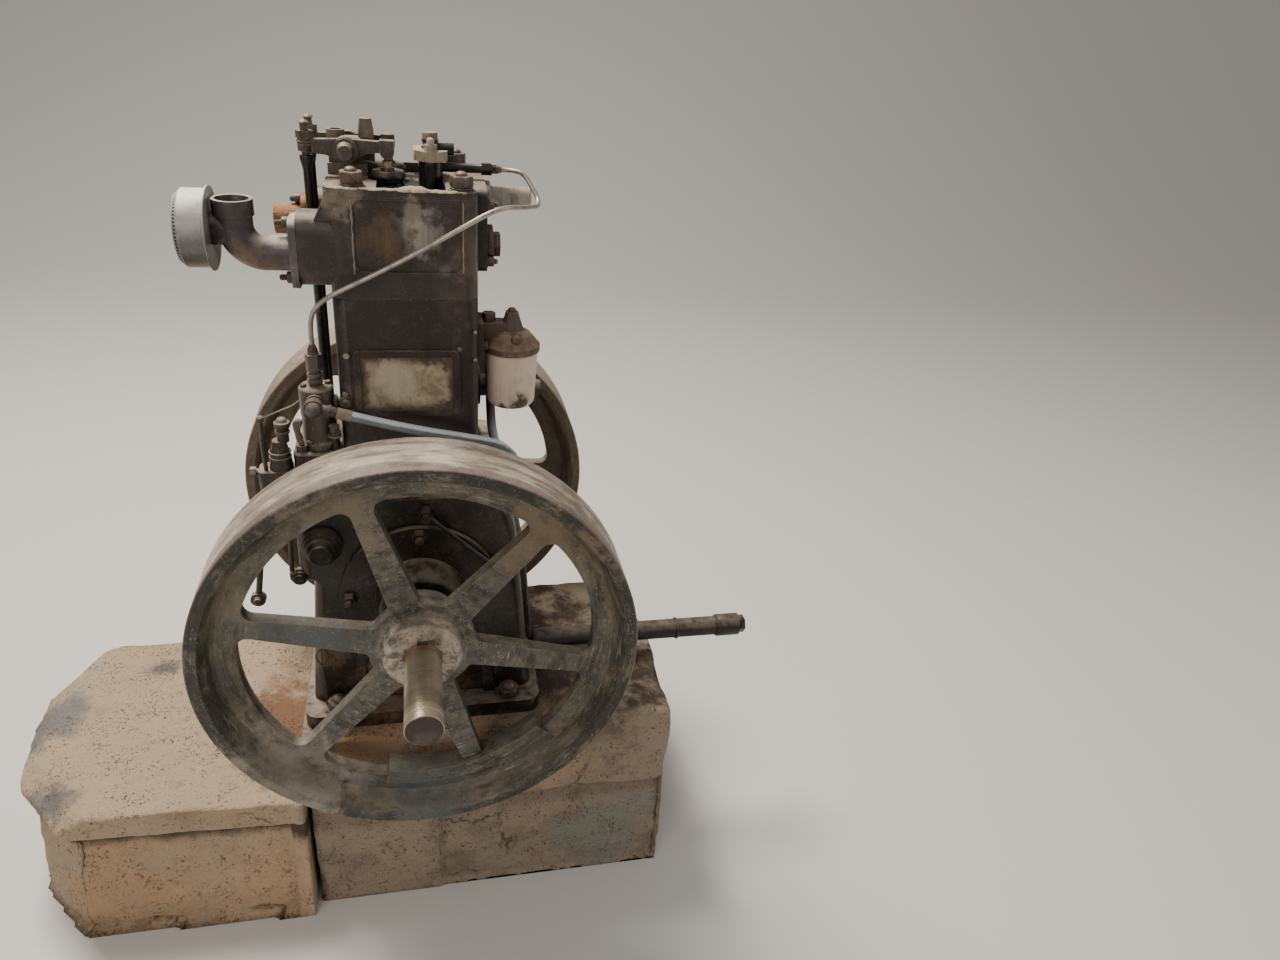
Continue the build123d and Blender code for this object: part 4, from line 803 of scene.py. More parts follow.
# Cylinder block. The water jacket is cast with square sides and is the darkest part of the engine,
# where fuel and soot have run down it. A low frame on its front holds the jacket door.
block_stains = [
    ((-0.06, -0.105, 0.90), 0.035, 0.6, (0.12, 0.09, 0.065)),
    ((-0.09, -0.10, 0.80), 0.04, 0.6, (0.13, 0.10, 0.075)),
]
sooty_iron = weathered(
    "sooty_cylinder_iron", (0.025, 0.0165, 0.0145), (0.045, 0.0295, 0.0250), bare=(0.10, 0.075, 0.06),
    rust=0.10, dusting=0.55, wear=0.6, rough=(0.4, 0.8), specks=0.12, stains=block_stains,
)
dress("cylinder_block", sooty_iron, 0.002)

bright_spot = weathered(
    "bright_washer", (0.30, 0.27, 0.23), (0.18, 0.15, 0.12),
    rust=0.2, dusting=0.3, size=2.5, bump=0.0002, rough=(0.28, 0.6), metal=0.6,
)
frame_face = -0.1048
corner_stud = [(0.0026, 0), (0.0026, 0.004), (0.0016, 0.0048)]
left_stud = [(0.0042, 0), (0.0042, 0.004), (0.003, 0.0052)]
bm = bmesh.new()
nut(bm, at(-0.0865, frame_face, 0.958, "front"), 0.008, 0.004)
washer(bm, at(-0.0635, frame_face, 0.956, "front"), 0.0032, 0.002)
washer(bm, at(0.062, frame_face, 0.967, "front"), 0.0035, 0.002)
for z in (0.991, 0.951):
    turned(bm, at(0.0830, -0.1020, z, "front"), corner_stud, 14)
turned(bm, at(-0.0915, -0.1030, 0.9010, "front"), left_stud, 18)
show("block_studs", bm, bright_spot)

tap_profile = [(0.0090, 0), (0.0090, 0.003), (0.0065, 0.004), (0.0065, 0.009), (0.004, 0.011)]
cock_profile = [(0.0065, 0), (0.0065, 0.004), (0.0045, 0.006), (0.0045, 0.008)]
tap_turnings = [
    (at(-0.0900, -0.1030, 0.8900, "front"), tap_profile, 26),
    (at(-0.0935, -0.1015, 0.8690, "front"), cock_profile, 22),
]
turned_piece("jacket_taps", rusty_steel, tap_turnings)


# Jacket door. A thin sheet cover inside the frame, weathered to tan with a pale patch in the middle,
# dark where oil creeps in from the edges, and flaking rust at its upper right corner.
sheet_low, sheet_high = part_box("jacket_door")


def door_zones(tree):
    reach = []
    for axis, start, end in (("X", sheet_low.x, sheet_high.x), ("Z", sheet_low.z, sheet_high.z)):
        offset = unsigned(tree, minus(tree, coordinate(tree, axis), (start + end) / 2))
        reach.append(minus(tree, (end - start) / 2, offset))
    rim = sums(tree, "MINIMUM", *reach)
    oiled = smooth(tree, plus(tree, rim, shaky(tree, 60.0, 0.016, 5.0, 0.7)), 0.014, 0.001)
    main = mixed(tree, oiled, (0.235, 0.172, 0.105, 1), (0.040, 0.029, 0.022, 1))
    pale = mixed(tree, oiled, (0.40, 0.335, 0.235, 1), (0.075, 0.055, 0.040, 1))
    return main, pale, 0.0


door_stains = [
    ((0.046, -0.11, 0.955), 0.028, 0.9, (0.10, 0.055, 0.035)),
    ((0.020, -0.11, 0.962), 0.018, 0.9, (0.055, 0.038, 0.028)),
    ((0.048, -0.11, 0.885), 0.016, 0.8, (0.06, 0.045, 0.035)),
    ((-0.020, -0.11, 0.920), 0.040, 0.5, (0.44, 0.375, 0.28)),
]
door_tan = weathered(
    "weathered_door_sheet", bare=(0.20, 0.15, 0.10), patches=0.75, rust=0.22, dusting=0.35, wear=0.2,
    grime_and_shade=1.0, size=2.4, cast=0.8, bump=0.0007, rough=(0.6, 0.9), soot=0.2, runs=0.2, zones=door_zones,
    stains=door_stains,
)
steps_x, steps_z = 62, 40
rim_width = 0.010
dish_depth, wave_depth, curl_depth = 0.0010, 0.0006, 0.0012
flake_x, flake_z, flake_reach = 0.044, 0.953, 0.022
bm = bmesh.new()
grid = []
for row in range(steps_z + 1):
    line = []
    for column in range(steps_x + 1):
        x = sheet_low.x + (sheet_high.x - sheet_low.x) * column / steps_x
        z = sheet_low.z + (sheet_high.z - sheet_low.z) * row / steps_z
        dish = min(1.0, min(x - sheet_low.x, sheet_high.x - x, z - sheet_low.z, sheet_high.z - z) / rim_width)
        flake = max(0.0, 1 - math.hypot(x - flake_x, z - flake_z) / flake_reach)
        wave = noise.noise(Vector((x * 26, 3.1, z * 26))) * wave_depth
        curl = curl_depth * flake * noise.noise(Vector((x * 190, 7.0, z * 190)))
        y = sheet_low.y + 0.0004 + dish_depth * dish + wave * dish + curl
        line.append(bm.verts.new((x, min(max(y, sheet_low.y), sheet_high.y - 0.0006), z)))
    grid.append(line)
for lower, upper in zip(grid, grid[1:]):
    for k in range(steps_x):
        bm.faces.new((lower[k], lower[k + 1], upper[k + 1], upper[k]))
border = [grid[0][i] for i in range(steps_x + 1)]
border += [grid[i][steps_x] for i in range(1, steps_z + 1)]
border += [grid[steps_z][i] for i in range(steps_x - 1, -1, -1)]
border += [grid[i][0] for i in range(steps_z - 1, 0, -1)]
back = [bm.verts.new((v.co.x, sheet_high.y, v.co.z)) for v in border]
for i in range(len(border)):
    k = (i + 1) % len(border)
    bm.faces.new((border[i], back[i], back[k], border[k]))
bm.faces.new(back)
show("jacket_door_sheet", bm, door_tan, replaces=("jacket_door",), sharp=60)

lug_profile = [(0.0085, 0), (0.0085, 0.0008), (0.0065, 0.0012)]
turned_piece("door_lug", rusty_steel, [(at(0.043, -0.1088, 0.957, "front"), lug_profile, 20)])


# Water inlet. A cast elbow behind the filter brings cooling water into the jacket. It stands
# against the side of the block and is of the same sooty iron.
dress("water_inlet_elbow", sooty_iron)


# Head gasket. A sheet of compressed fibre that shows as a thin ragged line between block and head.
# The four nuts of the head clamp it.
gasket_fibre = weathered(
    "gasket_fibre", (0.06, 0.052, 0.045), (0.11, 0.095, 0.08),
    rust=0.0, dusting=0.2, size=3.0, bump=0.0002, rough=(0.8, 0.95),
)
dress("head_gasket", gasket_fibre, 0)


# Cylinder head. Grey iron, bare and scorched brown-black, with water stains on its front panel and
# pale dust on its top face and on the shoulders of the port blocks.
head_stains = [
    ((0.010, -0.100, 1.125), 0.040, 0.75, (0.30, 0.28, 0.25)),
    ((0.002, -0.102, 1.150), 0.022, 0.9, (0.20, 0.17, 0.13)),
    ((-0.026, -0.100, 1.115), 0.038, 0.9, (0.115, 0.075, 0.040)),
    ((-0.060, -0.100, 1.105), 0.020, 0.8, (0.085, 0.050, 0.026)),
    ((0.045, -0.100, 1.075), 0.012, 0.6, (0.11, 0.10, 0.09)),
    ((-0.085, -0.09, 1.165), 0.035, 0.7, (0.20, 0.165, 0.12)),
    ((0.086, -0.09, 1.10), 0.05, 0.8, (0.10, 0.075, 0.055)),
]
scorched_iron = weathered(
    "scorched_head_iron", (0.037, 0.027, 0.024), (0.066, 0.049, 0.041), bare=(0.17, 0.14, 0.12),
    dust=(0.31, 0.26, 0.215), rust=0.14, dusting=0.62, wear=0.9, rough=(0.42, 0.82), specks=0.18,
    stains=head_stains, wet=(1.158, 1.1655),
)
dry_dirt = weathered(
    "dry_dirt", (0.24, 0.20, 0.165), (0.34, 0.30, 0.25), rust=0.0, dusting=0.6, wear=0.0, grime_and_shade=0.3,
    size=3.0, bump=0.0008, rough=(0.85, 0.95), soot=0.2, runs=0.0,
)
plate_black = weathered(
    "oily_side_plate", (0.024, 0.0185, 0.0165), (0.046, 0.036, 0.031), bare=(0.15, 0.12, 0.10),
    rust=0.18, dusting=0.6, wear=0.8, size=1.6, bump=0.0005, rough=(0.36, 0.8), specks=0.2,
)
dress("cylinder_head", scorched_iron, 0.002)
dress("head_side_plate", plate_black, 0.002)
dress("chamber_plug", rusty_steel)

nuts_low, nuts_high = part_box("head_nuts")
nut_high = nuts_high.z - nuts_low.z - 0.0056
nut_corner = 0.01566
washer_thick = 0.0022
column_x = nuts_high.x - nut_corner
column_y = nuts_high.y - nut_corner
cap_profile = [
    (0.0078, nut_high - 0.001), (0.0078, nut_high + 0.0012), (0.0066, nut_high + 0.0034),
    (0.004, nut_high + 0.0050), (0.001, nut_high + 0.0055),
]
bm = bmesh.new()
for x in (-column_x, column_x):
    for y in (-column_y, column_y):
        spot = at(x, y, nuts_low.z)
        washer(bm, spot, 0.0150, washer_thick)
        nut(bm, spot, 0.0265, nut_high - washer_thick, washer_thick, tilt=0.5 + 9 * x + 3 * y)
        turned(bm, spot, cap_profile, 24)
show("head_column_nuts", bm, rusty_steel, replaces=("head_nuts",))

plate_face = 0.10186
plate_nut = 0.013
bm = bmesh.new()
for z in (1.152, 1.076):
    for y in (-0.058, 0.058):
        stud = (plate_nut * 0.3, 0.009, 0.0145)
        bolted(bm, at(plate_face, y, z, "right"), plate_nut, 0.008, y * 12, stud, (plate_nut * 0.62, 0.0015))
show("side_plate_nuts", bm, rusty_steel)

random.seed(7)
bm = bmesh.new()
for rib_x, rib_low, rib_high in ((-0.0685, 1.068, 1.163), (0.0685, 1.072, 1.163)):
    rib = []
    for i in range(25):
        z = rib_low + (rib_high - rib_low) * i / 24
        rib.append((rib_x + 0.0006 * random.uniform(-1, 1), -0.1052, z))
    tube(bm, rib, lambda t: 0.0011 + 0.0005 * math.sin(23 * t) * math.sin(7 * t), 8)
show("panel_ribs", bm, dry_dirt)

rim_top = 1.1750
rim_start, rim_long = -0.084, 0.154
heap_x, heap_spread = 0.008, 0.014
lumps = 46
random.seed(41)
bm = bmesh.new()
for i in range(lumps):
    x = rim_start + rim_long * i / (lumps - 1)
    heap = 0.0045 * math.exp(-(((x - heap_x) / heap_spread) ** 2)) + 0.0016 * random.random()
    reach = 0.0032 + 0.0028 * random.random() + heap
    y = -0.1035 + 0.004 * random.random()
    profile = [(reach, -0.0008), (reach * 0.85, heap * 0.4), (reach * 0.55, heap * 0.85), (reach * 0.2, heap)]
    turned(bm, at(x, y, rim_top), profile, 12)
show("caked_dirt", bm, dry_dirt)


# Water outlet. A grey plastic pipe end with a moulded collar, pushed into the side of the head.
# Two thin ribs run round the collar, and dust lies on it.
grey_plastic = weathered(
    "dusty_grey_plastic", (0.30, 0.285, 0.25), (0.22, 0.205, 0.175), bare=(0.34, 0.33, 0.30), rust=0.05,
    dusting=0.6, wear=0.2, size=1.6, cast=0.1, bump=0.0002, rough=(0.5, 0.8),
)
dress("water_outlet", grey_plastic, 0.0008)
bm = bmesh.new()
for x in (0.124, 0.138):
    rib_profile = [(0.0141, 0), (0.0147, 0.0008), (0.0147, 0.0032), (0.0141, 0.004)]
    turned(bm, at(x, 0, 1.151, "right"), rib_profile, 32, False)
show("outlet_ribs", bm, grey_plastic)


# Rocker gear. A forged rocker works each valve from its pushrod. Both swing on one shaft in a cast
# bracket on the head, held by a tube nut and a tall tapered post. All of it is oily and dusty.
rocker_steel = weathered(
    "oily_forged_steel", (0.072, 0.056, 0.049), (0.125, 0.100, 0.086), bare=(0.29, 0.245, 0.205),
    dust=(0.40, 0.335, 0.27), rust=0.18, dusting=0.55, soot=0.25, runs=0.35, wear=0.85, size=1.6,
    bump=0.0004, rough=(0.34, 0.8), metal=0.15,
)
post_tan = weathered(
    "dusty_tan_steel", (0.135, 0.105, 0.075), (0.26, 0.21, 0.155),
    rust=0.35, dusting=0.8, wear=0.6, size=2.0, bump=0.0004, rough=(0.5, 0.85), metal=0.1,
)
stem_tan = weathered(
    "worn_stem_cap", (0.44, 0.36, 0.22), (0.30, 0.24, 0.15),
    rust=0.1, dusting=0.4, wear=0.5, size=3.0, bump=0.0002, rough=(0.3, 0.6), metal=0.5, soot=0.1,
)
valve_x = -0.024
pushrod_x = -0.124
valve_sides = (("inlet", -0.027), ("exhaust", 0.027))
adjuster_profile = [(0.0095, 0), (0.0103, 0.0006), (0.0103, 0.0016), (0.0095, 0.0022)]
stem_profile = [(0.0075, 0), (0.0075, 0.0012), (0.0060, 0.0018), (0.0060, 0.0098), (0.0048, 0.0112)]
dress("rocker_pedestal", post_tan)
dress("rocker_shaft", rocker_steel, 0.0008)
for side, y in valve_sides:
    dress(side + "_rocker", rocker_steel, 0.001)
    dress(side + "_pushrod", oily_black, 0.0008)
    dress(side + "_valve", oily_black, 0.0006)
    bm = bmesh.new()
    for z in (1.2112, 1.2150):
        turned(bm, at(pushrod_x, y, z), adjuster_profile, 30, False)
    threaded_stud(bm, at(pushrod_x, y, 1.2275), 0.0054, 0, 0.008, 0.0014)
    show(side + "_adjuster_rings", bm, rocker_steel, side + "_rocker")
    stem_turnings = [(at(valve_x, y, 1.1852), stem_profile, 28)]
    turned_piece(side + "_stem_cap", stem_tan, stem_turnings, side + "_valve")

drip = [
    (-0.0630, -0.0155, 1.1840), (-0.0570, -0.0158, 1.1915), (-0.0480, -0.0158, 1.1925),
    (-0.0380, -0.0160, 1.1900), (-0.0330, -0.0165, 1.1860),
]
wire_piece("drip_wire", post_tan, smooth_run(drip, 5), 0.0014, 8)


# Valve springs. A strong coil of round wire stands in its pocket in the head under each collar. The
# end turns are closed and ground, and the wire is black with oil.
spring_black = weathered(
    "oily_spring_wire", (0.020, 0.022, 0.024), (0.040, 0.042, 0.044), bare=(0.16, 0.16, 0.16), rust=0.08,
    dusting=0.2, wear=0.9, size=2.5, cast=0.1, bump=0.00015, rough=(0.22, 0.6), metal=0.7,
)
spring_low = 1.1493
spring_high = 1.1767
wire = 0.0021
coil_radius = 0.0193
coils = 4.6
coil_steps = int(coils * 30)
for side, y in valve_sides:
    bm = bmesh.new()
    run = []
    for i in range(coil_steps + 1):
        share = i / coil_steps
        z = spring_low + wire + ramp(share - 0.14, 0.72) * (spring_high - spring_low - 2 * wire)
        angle = 2 * math.pi * coils * share
        run.append((valve_x + coil_radius * math.cos(angle), y + coil_radius * math.sin(angle), z))
    tube(bm, run, wire, 8)
    replaced = (side + "_valve_spring",)
    spring = show(side + "_spring_coil", bm, spring_black, replaces=replaced)
    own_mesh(spring)


# Injector. A slim steel body stands in the head under a thick yoke with two studs. Its body is black
# and wet with fuel, and the yoke is dusty olive brown.
wet_black = weathered(
    "wet_black_steel", (0.016, 0.017, 0.020), (0.030, 0.028, 0.032), bare=(0.12, 0.12, 0.12), rust=0.06,
    dusting=0.25, wear=0.7, size=2.0, cast=0.1, bump=0.0002, rough=(0.18, 0.5), metal=0.4,
)
dress("injector", wet_black, 0.0008)


def yoke_zones(tree):
    height = plus(tree, coordinate(tree, "Z"), times(tree, speckle(tree, 90.0), 0.006))
    wet = smooth(tree, height, 1.200, 1.196)
    top = mixed(tree, wet, (0.37, 0.30, 0.215, 1), (0.018, 0.017, 0.018, 1))
    worn = mixed(tree, wet, (0.48, 0.40, 0.30, 1), (0.035, 0.031, 0.030, 1))
    return top, worn, 0.0


yoke_olive = weathered(
    "dusty_olive_yoke", rust=0.25, dusting=0.8, wear=0.6, size=2.0, bump=0.0004, rough=(0.5, 0.85),
    metal=0.05, soot=0.15, zones=yoke_zones,
)
dress("injector_clamp", yoke_olive, 0.001)
cap_nut_profile = [
    (0.0118, 0), (0.0118, 0.004), (0.0100, 0.005), (0.0100, 0.0185), (0.0088, 0.0205), (0.003, 0.0208),
]
injector_x = 0.031
injector_top = 1.2105
cap_nut_place = at(injector_x, 0, injector_top)
turned_piece("injector_cap_nut", post_tan, [(cap_nut_place, cap_nut_profile, 30)])


# Injector pipe. Thick-walled drawn steel pipe, dull light grey and wiped clean, with a tapered olive
# where each union nut grips it.
drawn_steel = weathered(
    "drawn_pipe_steel", (0.40, 0.37, 0.335), (0.27, 0.24, 0.205), bare=(0.5, 0.47, 0.44), rust=0.12,
    dusting=0.35, wear=0.1, grime_and_shade=0.3, size=2.4, cast=0.05, bump=0.00012, rough=(0.34, 0.65), metal=0.55,
)
dress("injector_pipe", drawn_steel, 0)
pump_x = -0.131
pump_y = -0.086
olive_turnings = [
    (at(pump_x, pump_y, 0.9562), [(0.0068, 0), (0.0068, 0.003), (0.0042, 0.009), (0.0034, 0.0105)], 24),
    (at(0.1182, 0, 1.187, "right"), [(0.0058, 0), (0.0058, 0.002), (0.0042, 0.006), (0.0034, 0.0075)], 24),
]
turned_piece("pipe_olives", rusty_steel, olive_turnings)


# Intake. A dull grey cast elbow is bolted to the front port and carries the air filter. Its short
# spigot stands open at the top, and pale dust lies on its upper side.
elbow_grey = weathered(
    "dusty_elbow_grey", (0.066, 0.055, 0.054), (0.100, 0.084, 0.080), bare=(0.30, 0.27, 0.25),
    dust=(0.50, 0.455, 0.42), rust=0.06, dusting=1.0, soot=0.15, wear=0.5, grime_and_shade=0.6, size=0.8, cast=0.15,
    bump=0.0003, rough=(0.42, 0.8), specks=0.1,
    stains=[((-0.20, -0.09, 1.062), 0.05, 0.8, (0.16, 0.105, 0.065))],
)
dress("intake_elbow", elbow_grey, 0.0012)
bm = bmesh.new()
for x, y, z, tilt, stud_end in (
    (-0.14605, -0.074, 1.1235, 4, 0.018),
    (-0.14605, -0.074, 1.0535, 4, 0.018),
    (-0.14505, 0.074, 1.1225, 3, 0.016),
    (-0.14505, 0.074, 1.0675, 3, 0.016),
):
    bolted(bm, at(x, y, z, "left"), 0.014, 0.009, z * tilt, (0.0042, 0.009, stud_end))
show("port_flange_nuts", bm, rusty_steel)


# Air filter. A pressed sheet drum with a wide flange at the elbow and a pierced band round its outer
# end, where the air goes in. The paint is worn silver grey with pale dust on top; its upper side is
# painted lighter as a painted highlight and its lower side darker as painted shade.
drum_low, drum_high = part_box("air_filter")
drum_y = (drum_low.y + drum_high.y) / 2
drum_z = (drum_low.z + drum_high.z) / 2


def drum_zones(tree):
    # Painted light: by height the drum gets a light painted highlight on top, then grey and brown painted
    # shade below.
    height = plus(tree, coordinate(tree, "Z"), shaky(tree, 30.0, 0.024, 6.0, 0.7))
    shaded = smooth(tree, height, drum_z + 0.014, drum_z - 0.012)
    painted_shade_below = smooth(tree, height, drum_z - 0.014, drum_z - 0.034)
    made = []
    for silver, grey, brown in (
        ((0.30, 0.295, 0.285, 1), (0.125, 0.128, 0.130, 1), (0.052, 0.040, 0.027, 1)),
        ((0.40, 0.39, 0.37, 1), (0.165, 0.160, 0.152, 1), (0.085, 0.066, 0.046, 1)),
    ):
        made.append(mixed(tree, painted_shade_below, mixed(tree, shaded, silver, grey), brown))
    return made[0], made[1], 0.0


drum_grey = weathered(
    "worn_silver_paint", bare=(0.50, 0.49, 0.47), dust=(0.74, 0.70, 0.64), soot=0.1, specks=0.2,
    zones=drum_zones, rust=0.08, dusting=1.0, wear=0.8, grime_and_shade=0.5, size=0.9, cast=0.1, bump=0.0002,
    rough=(0.4, 0.75), metal=0.25,
)
drum_long = drum_high.x - drum_low.x
flange_radius = (drum_high.z - drum_low.z) / 2
drum_radius = flange_radius - 0.004
drum_place = at(drum_high.x, drum_y, drum_z, "left")
flange_and_side = [
    (0.020, 0.0002), (flange_radius - 0.0006, 0.0002), (flange_radius, 0.0009),
    (flange_radius - 0.0003, 0.0020), (drum_radius + 0.0008, 0.0026), (drum_radius, 0.0042),
    (drum_radius, drum_long - 0.0072), (drum_radius - 0.0008, drum_long - 0.0062),
]
pierced_band = [
    (drum_radius - 0.0008, drum_long - 0.0062), (drum_radius - 0.0022, drum_long - 0.0047),
    (drum_radius - 0.0040, drum_long - 0.0024), (drum_radius - 0.0052, drum_long - 0.0010),
]
end_disc = [
    (drum_radius - 0.0052, drum_long - 0.0010), (drum_radius - 0.0062, drum_long - 0.0002),
    (drum_radius - 0.0100, drum_long - 0.0002), (drum_radius - 0.0120, drum_long - 0.0016),
    (0.014, drum_long - 0.0016), (0.012, drum_long - 0.0006), (0.0002, drum_long - 0.0006),
]
slots = 64
bm = bmesh.new()
turned(bm, drum_place, flange_and_side, 96, False)
turned(bm, drum_place, end_disc, 96, False)
loops = [loop_of(bm, drum_place, circle(radius, z, 2 * slots)) for radius, z in pierced_band]
for level in range(3):
    for i in range(2 * slots):
        if level == 1 and i % 2:
            continue
        k = (i + 1) % (2 * slots)
        bm.faces.new((loops[level][i], loops[level][k], loops[level + 1][k], loops[level + 1][i]))
show("filter_drum", bm, drum_grey, replaces=("air_filter",))

mesh_radius = drum_radius - 0.009
mesh_profile = [(mesh_radius, 0.003), (mesh_radius, drum_long - 0.003), (0.01, drum_long - 0.0025)]
turned_piece("filter_mesh", oily_black, [(drum_place, mesh_profile, 64)])
drum_end = at(drum_low.x + 0.0014, drum_y, drum_z, "left")
drum_nut_profile = [(0.0095, -0.002), (0.0095, 0.0), (0.006, 0.0004), (0.006, 0.0013)]
turned_piece("filter_cap", rusty_steel, [(drum_end, drum_nut_profile, 24)])


# Exhaust stub. A short steel pipe screwed in a flange on the rear port, covered with orange rust.
# The flange is held by the two rear ones of the port nuts.
orange_rust = weathered(
    "orange_rust", (0.36, 0.165, 0.070), (0.22, 0.095, 0.045), bare=(0.40, 0.24, 0.13),
    dust=(0.45, 0.30, 0.18), rust=0.75, dusting=0.5, wear=0.4, grime_and_shade=0.8, size=2.0, cast=0.8, bump=0.0009,
    rough=(0.75, 0.95), rust_light=(0.50, 0.24, 0.10),
)
dress("exhaust_stub", orange_rust, 0.0012)


# Tappet housing. An iron box bolted beside the cylinder. The pushrods stand in its guides, and its
# flat top is caked with dust and oil.
tappet_top = 0.8178
dress("tappet_housing", oily_shaded_paint, 0.0018)
bm = bmesh.new()
for x, y in ((-0.154, -0.012), (-0.112, 0.036), (-0.154, 0.036), (-0.154, -0.106)):
    stud = (0.004, 0.0095, 0.014)
    bolted(bm, at(x, y, tappet_top), 0.014, 0.008, x * 7 + y * 5, stud, under=(0.0088, 0.0015))
show("tappet_cover_nuts", bm, rusty_steel)


# Fuel pump. A slim cast pump with a wide head and a ribbed neck. The union nut, the screws of the
# head and a banjo on its front are of dusty brown steel.
pump_brown = weathered(
    "dusty_pump_brown", (0.085, 0.067, 0.056), (0.150, 0.120, 0.098), bare=(0.28, 0.235, 0.195),
    dust=(0.36, 0.30, 0.24), soot=0.2, runs=0.35, rust=0.2, dusting=0.75, wear=0.75, size=1.7,
    bump=0.0004, rough=(0.36, 0.82),
)
dress("fuel_pump", pump_brown)
dress("pump_union", pump_brown, 0.0008)
dress("fuel_inlet_union", pump_brown, 0.0008)


def round_the_pump(radius, degrees, z):
    angle = math.radians(degrees)
    return at(pump_x + radius * math.cos(angle), pump_y + radius * math.sin(angle), z)


bm = bmesh.new()
for degrees in (20, 200):
    screw_profile = [(0.0042, 0), (0.0042, 0.0036), (0.0030, 0.0046)]
    turned(bm, round_the_pump(0.0165, degrees, 0.9078), screw_profile, 20)
for degrees in (60, 240):
    nut(bm, round_the_pump(0.0222, degrees, 0.8268), 0.010, 0.006)
side_plug_profile = [
    (0.009, 0), (0.009, 0.004), (0.006, 0.005), (0.006, 0.009), (0.0075, 0.0095), (0.0075, 0.0125),
    (0.004, 0.014),
]
turned(bm, at(-0.108, -0.090, 0.8860, "right"), side_plug_profile, 24)
show("pump_screws", bm, rusty_steel)

spool_profile = [
    (0.0075, 0), (0.0095, 0.0008), (0.0095, 0.0024), (0.0062, 0.0040), (0.0058, 0.0150), (0.0072, 0.0158),
    (0.0072, 0.0176), (0.004, 0.0186),
]
turned_piece("priming_spool", pump_brown, [(at(-0.109, -0.109, 0.8400), spool_profile, 28)])


# Fuel hose. Blue-grey hose from the banjo along the front of the jacket and up behind the filter bowl
# to the filter head. Its top is painted pale, partly dust and partly a painted highlight, and where it
# climbs behind the bowl it is painted near black as painted shade. A strip of tan tape binds its first end.
hose_blue, tree, shader = fresh_material("blue_grey_hose")
tone = grouped(
    tree, blotches, First=(0.115, 0.145, 0.165, 1), Second=(0.20, 0.22, 0.235, 1), Scale=18.0, Amount=0.5
)
# Partly dust and partly painted highlight: faces turned up are painted pale.
upward = put(tree, "SeparateXYZ", {0: put(tree, "NewGeometry").outputs["Normal"]}).outputs["Z"]
powder = speckle(tree, 90.0, 5.0, 0.7)
dust_and_highlight = smooth(tree, plus(tree, upward, times(tree, powder, 0.5)), 0.50, 0.92)
colour = mixed(tree, dust_and_highlight, tone["Colour"], (0.70, 0.74, 0.78, 1))
dots = grouped(tree, freckles, Scale=420.0, Amount=0.6)
colour = mixed(tree, dots["Mask"], colour, (0.25, 0.22, 0.18, 1))
# Painted shade: the part of the hose that climbs behind the bowl is painted near black.
past_bowl = smooth(tree, coordinate(tree, "X"), 0.098, 0.109)
over_bend = smooth(tree, coordinate(tree, "Z"), 0.775, 0.83)
behind_bowl = smooth(tree, coordinate(tree, "Y"), -0.095, -0.07)
shaded_climb = times(tree, past_bowl, over_bend, behind_bowl, 0.92)
colour = mixed(tree, shaded_climb, colour, (0.030, 0.026, 0.024, 1))
tree.links.new(colour, shader["Base Color"])
shader["Roughness"].default_value = 0.42
bumped(tree, shader, powder, 0.0002)

hose_radius = 0.007
banjo = Vector((-0.131, -0.131, 0.89403))
fall = math.radians(16.1)
downhill = Vector((math.cos(fall), 0, -math.sin(fall)))
hose_start = banjo + downhill * 0.030
hose_points = [
    tuple(hose_start),
    tuple(banjo + downhill * 0.120),
    (0.088, -0.125, 0.838),
    (0.119, -0.118, 0.826),
    (0.142, -0.101, 0.794),
    (0.132, -0.068, 0.778),
    (0.114, -0.026, 0.788),
    (0.112, 0.016, 0.840),
    (0.112, 0.016, 0.93497),
]
hose_curve = bpy.data.curves.new("fuel_hose_line", "CURVE")
hose_curve.dimensions = "3D"
hose_curve.bevel_depth = hose_radius
hose_curve.bevel_resolution = 5
hose_curve.resolution_u = 16
hose_curve.use_fill_caps = True
line = hose_curve.splines.new("NURBS")
line.points.add(len(hose_points) - 1)
for point, place in zip(line.points, hose_points):
    point.co = (*place, 1)
line.order_u = 3
line.use_endpoint_u = True
hose_curve.materials.append(hose_blue)
hose = bpy.data.objects.new("fuel_hose_tube", hose_curve)
bpy.context.scene.collection.objects.link(hose)
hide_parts("fuel_hose")
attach(hose, "root")

thin_curve = hose_curve.copy()
thin_curve.bevel_depth = 0
measure = bpy.data.objects.new("hose_measure", thin_curve)
bpy.context.scene.collection.objects.link(measure)
line_mesh = bpy.data.meshes.new_from_object(measure.evaluated_get(bpy.context.evaluated_depsgraph_get()))
hose_line = [vertex.co.copy() for vertex in line_mesh.vertices]
bpy.data.objects.remove(measure)
bpy.data.meshes.remove(line_mesh)

tape_tan = weathered(
    "tan_tape", (0.27, 0.20, 0.14), (0.36, 0.28, 0.20),
    rust=0.1, dusting=0.5, wear=0.0, size=3.0, bump=0.0003, rough=(0.7, 0.9),
)
taped = [p for p in hose_line if (p - hose_start).length < 0.020]
bm = bmesh.new()
tube(bm, taped, lambda t: hose_radius + 0.0007 + 0.0004 * math.sin(t * 19), 20)
tape = show("hose_tape", bm, tape_tan)


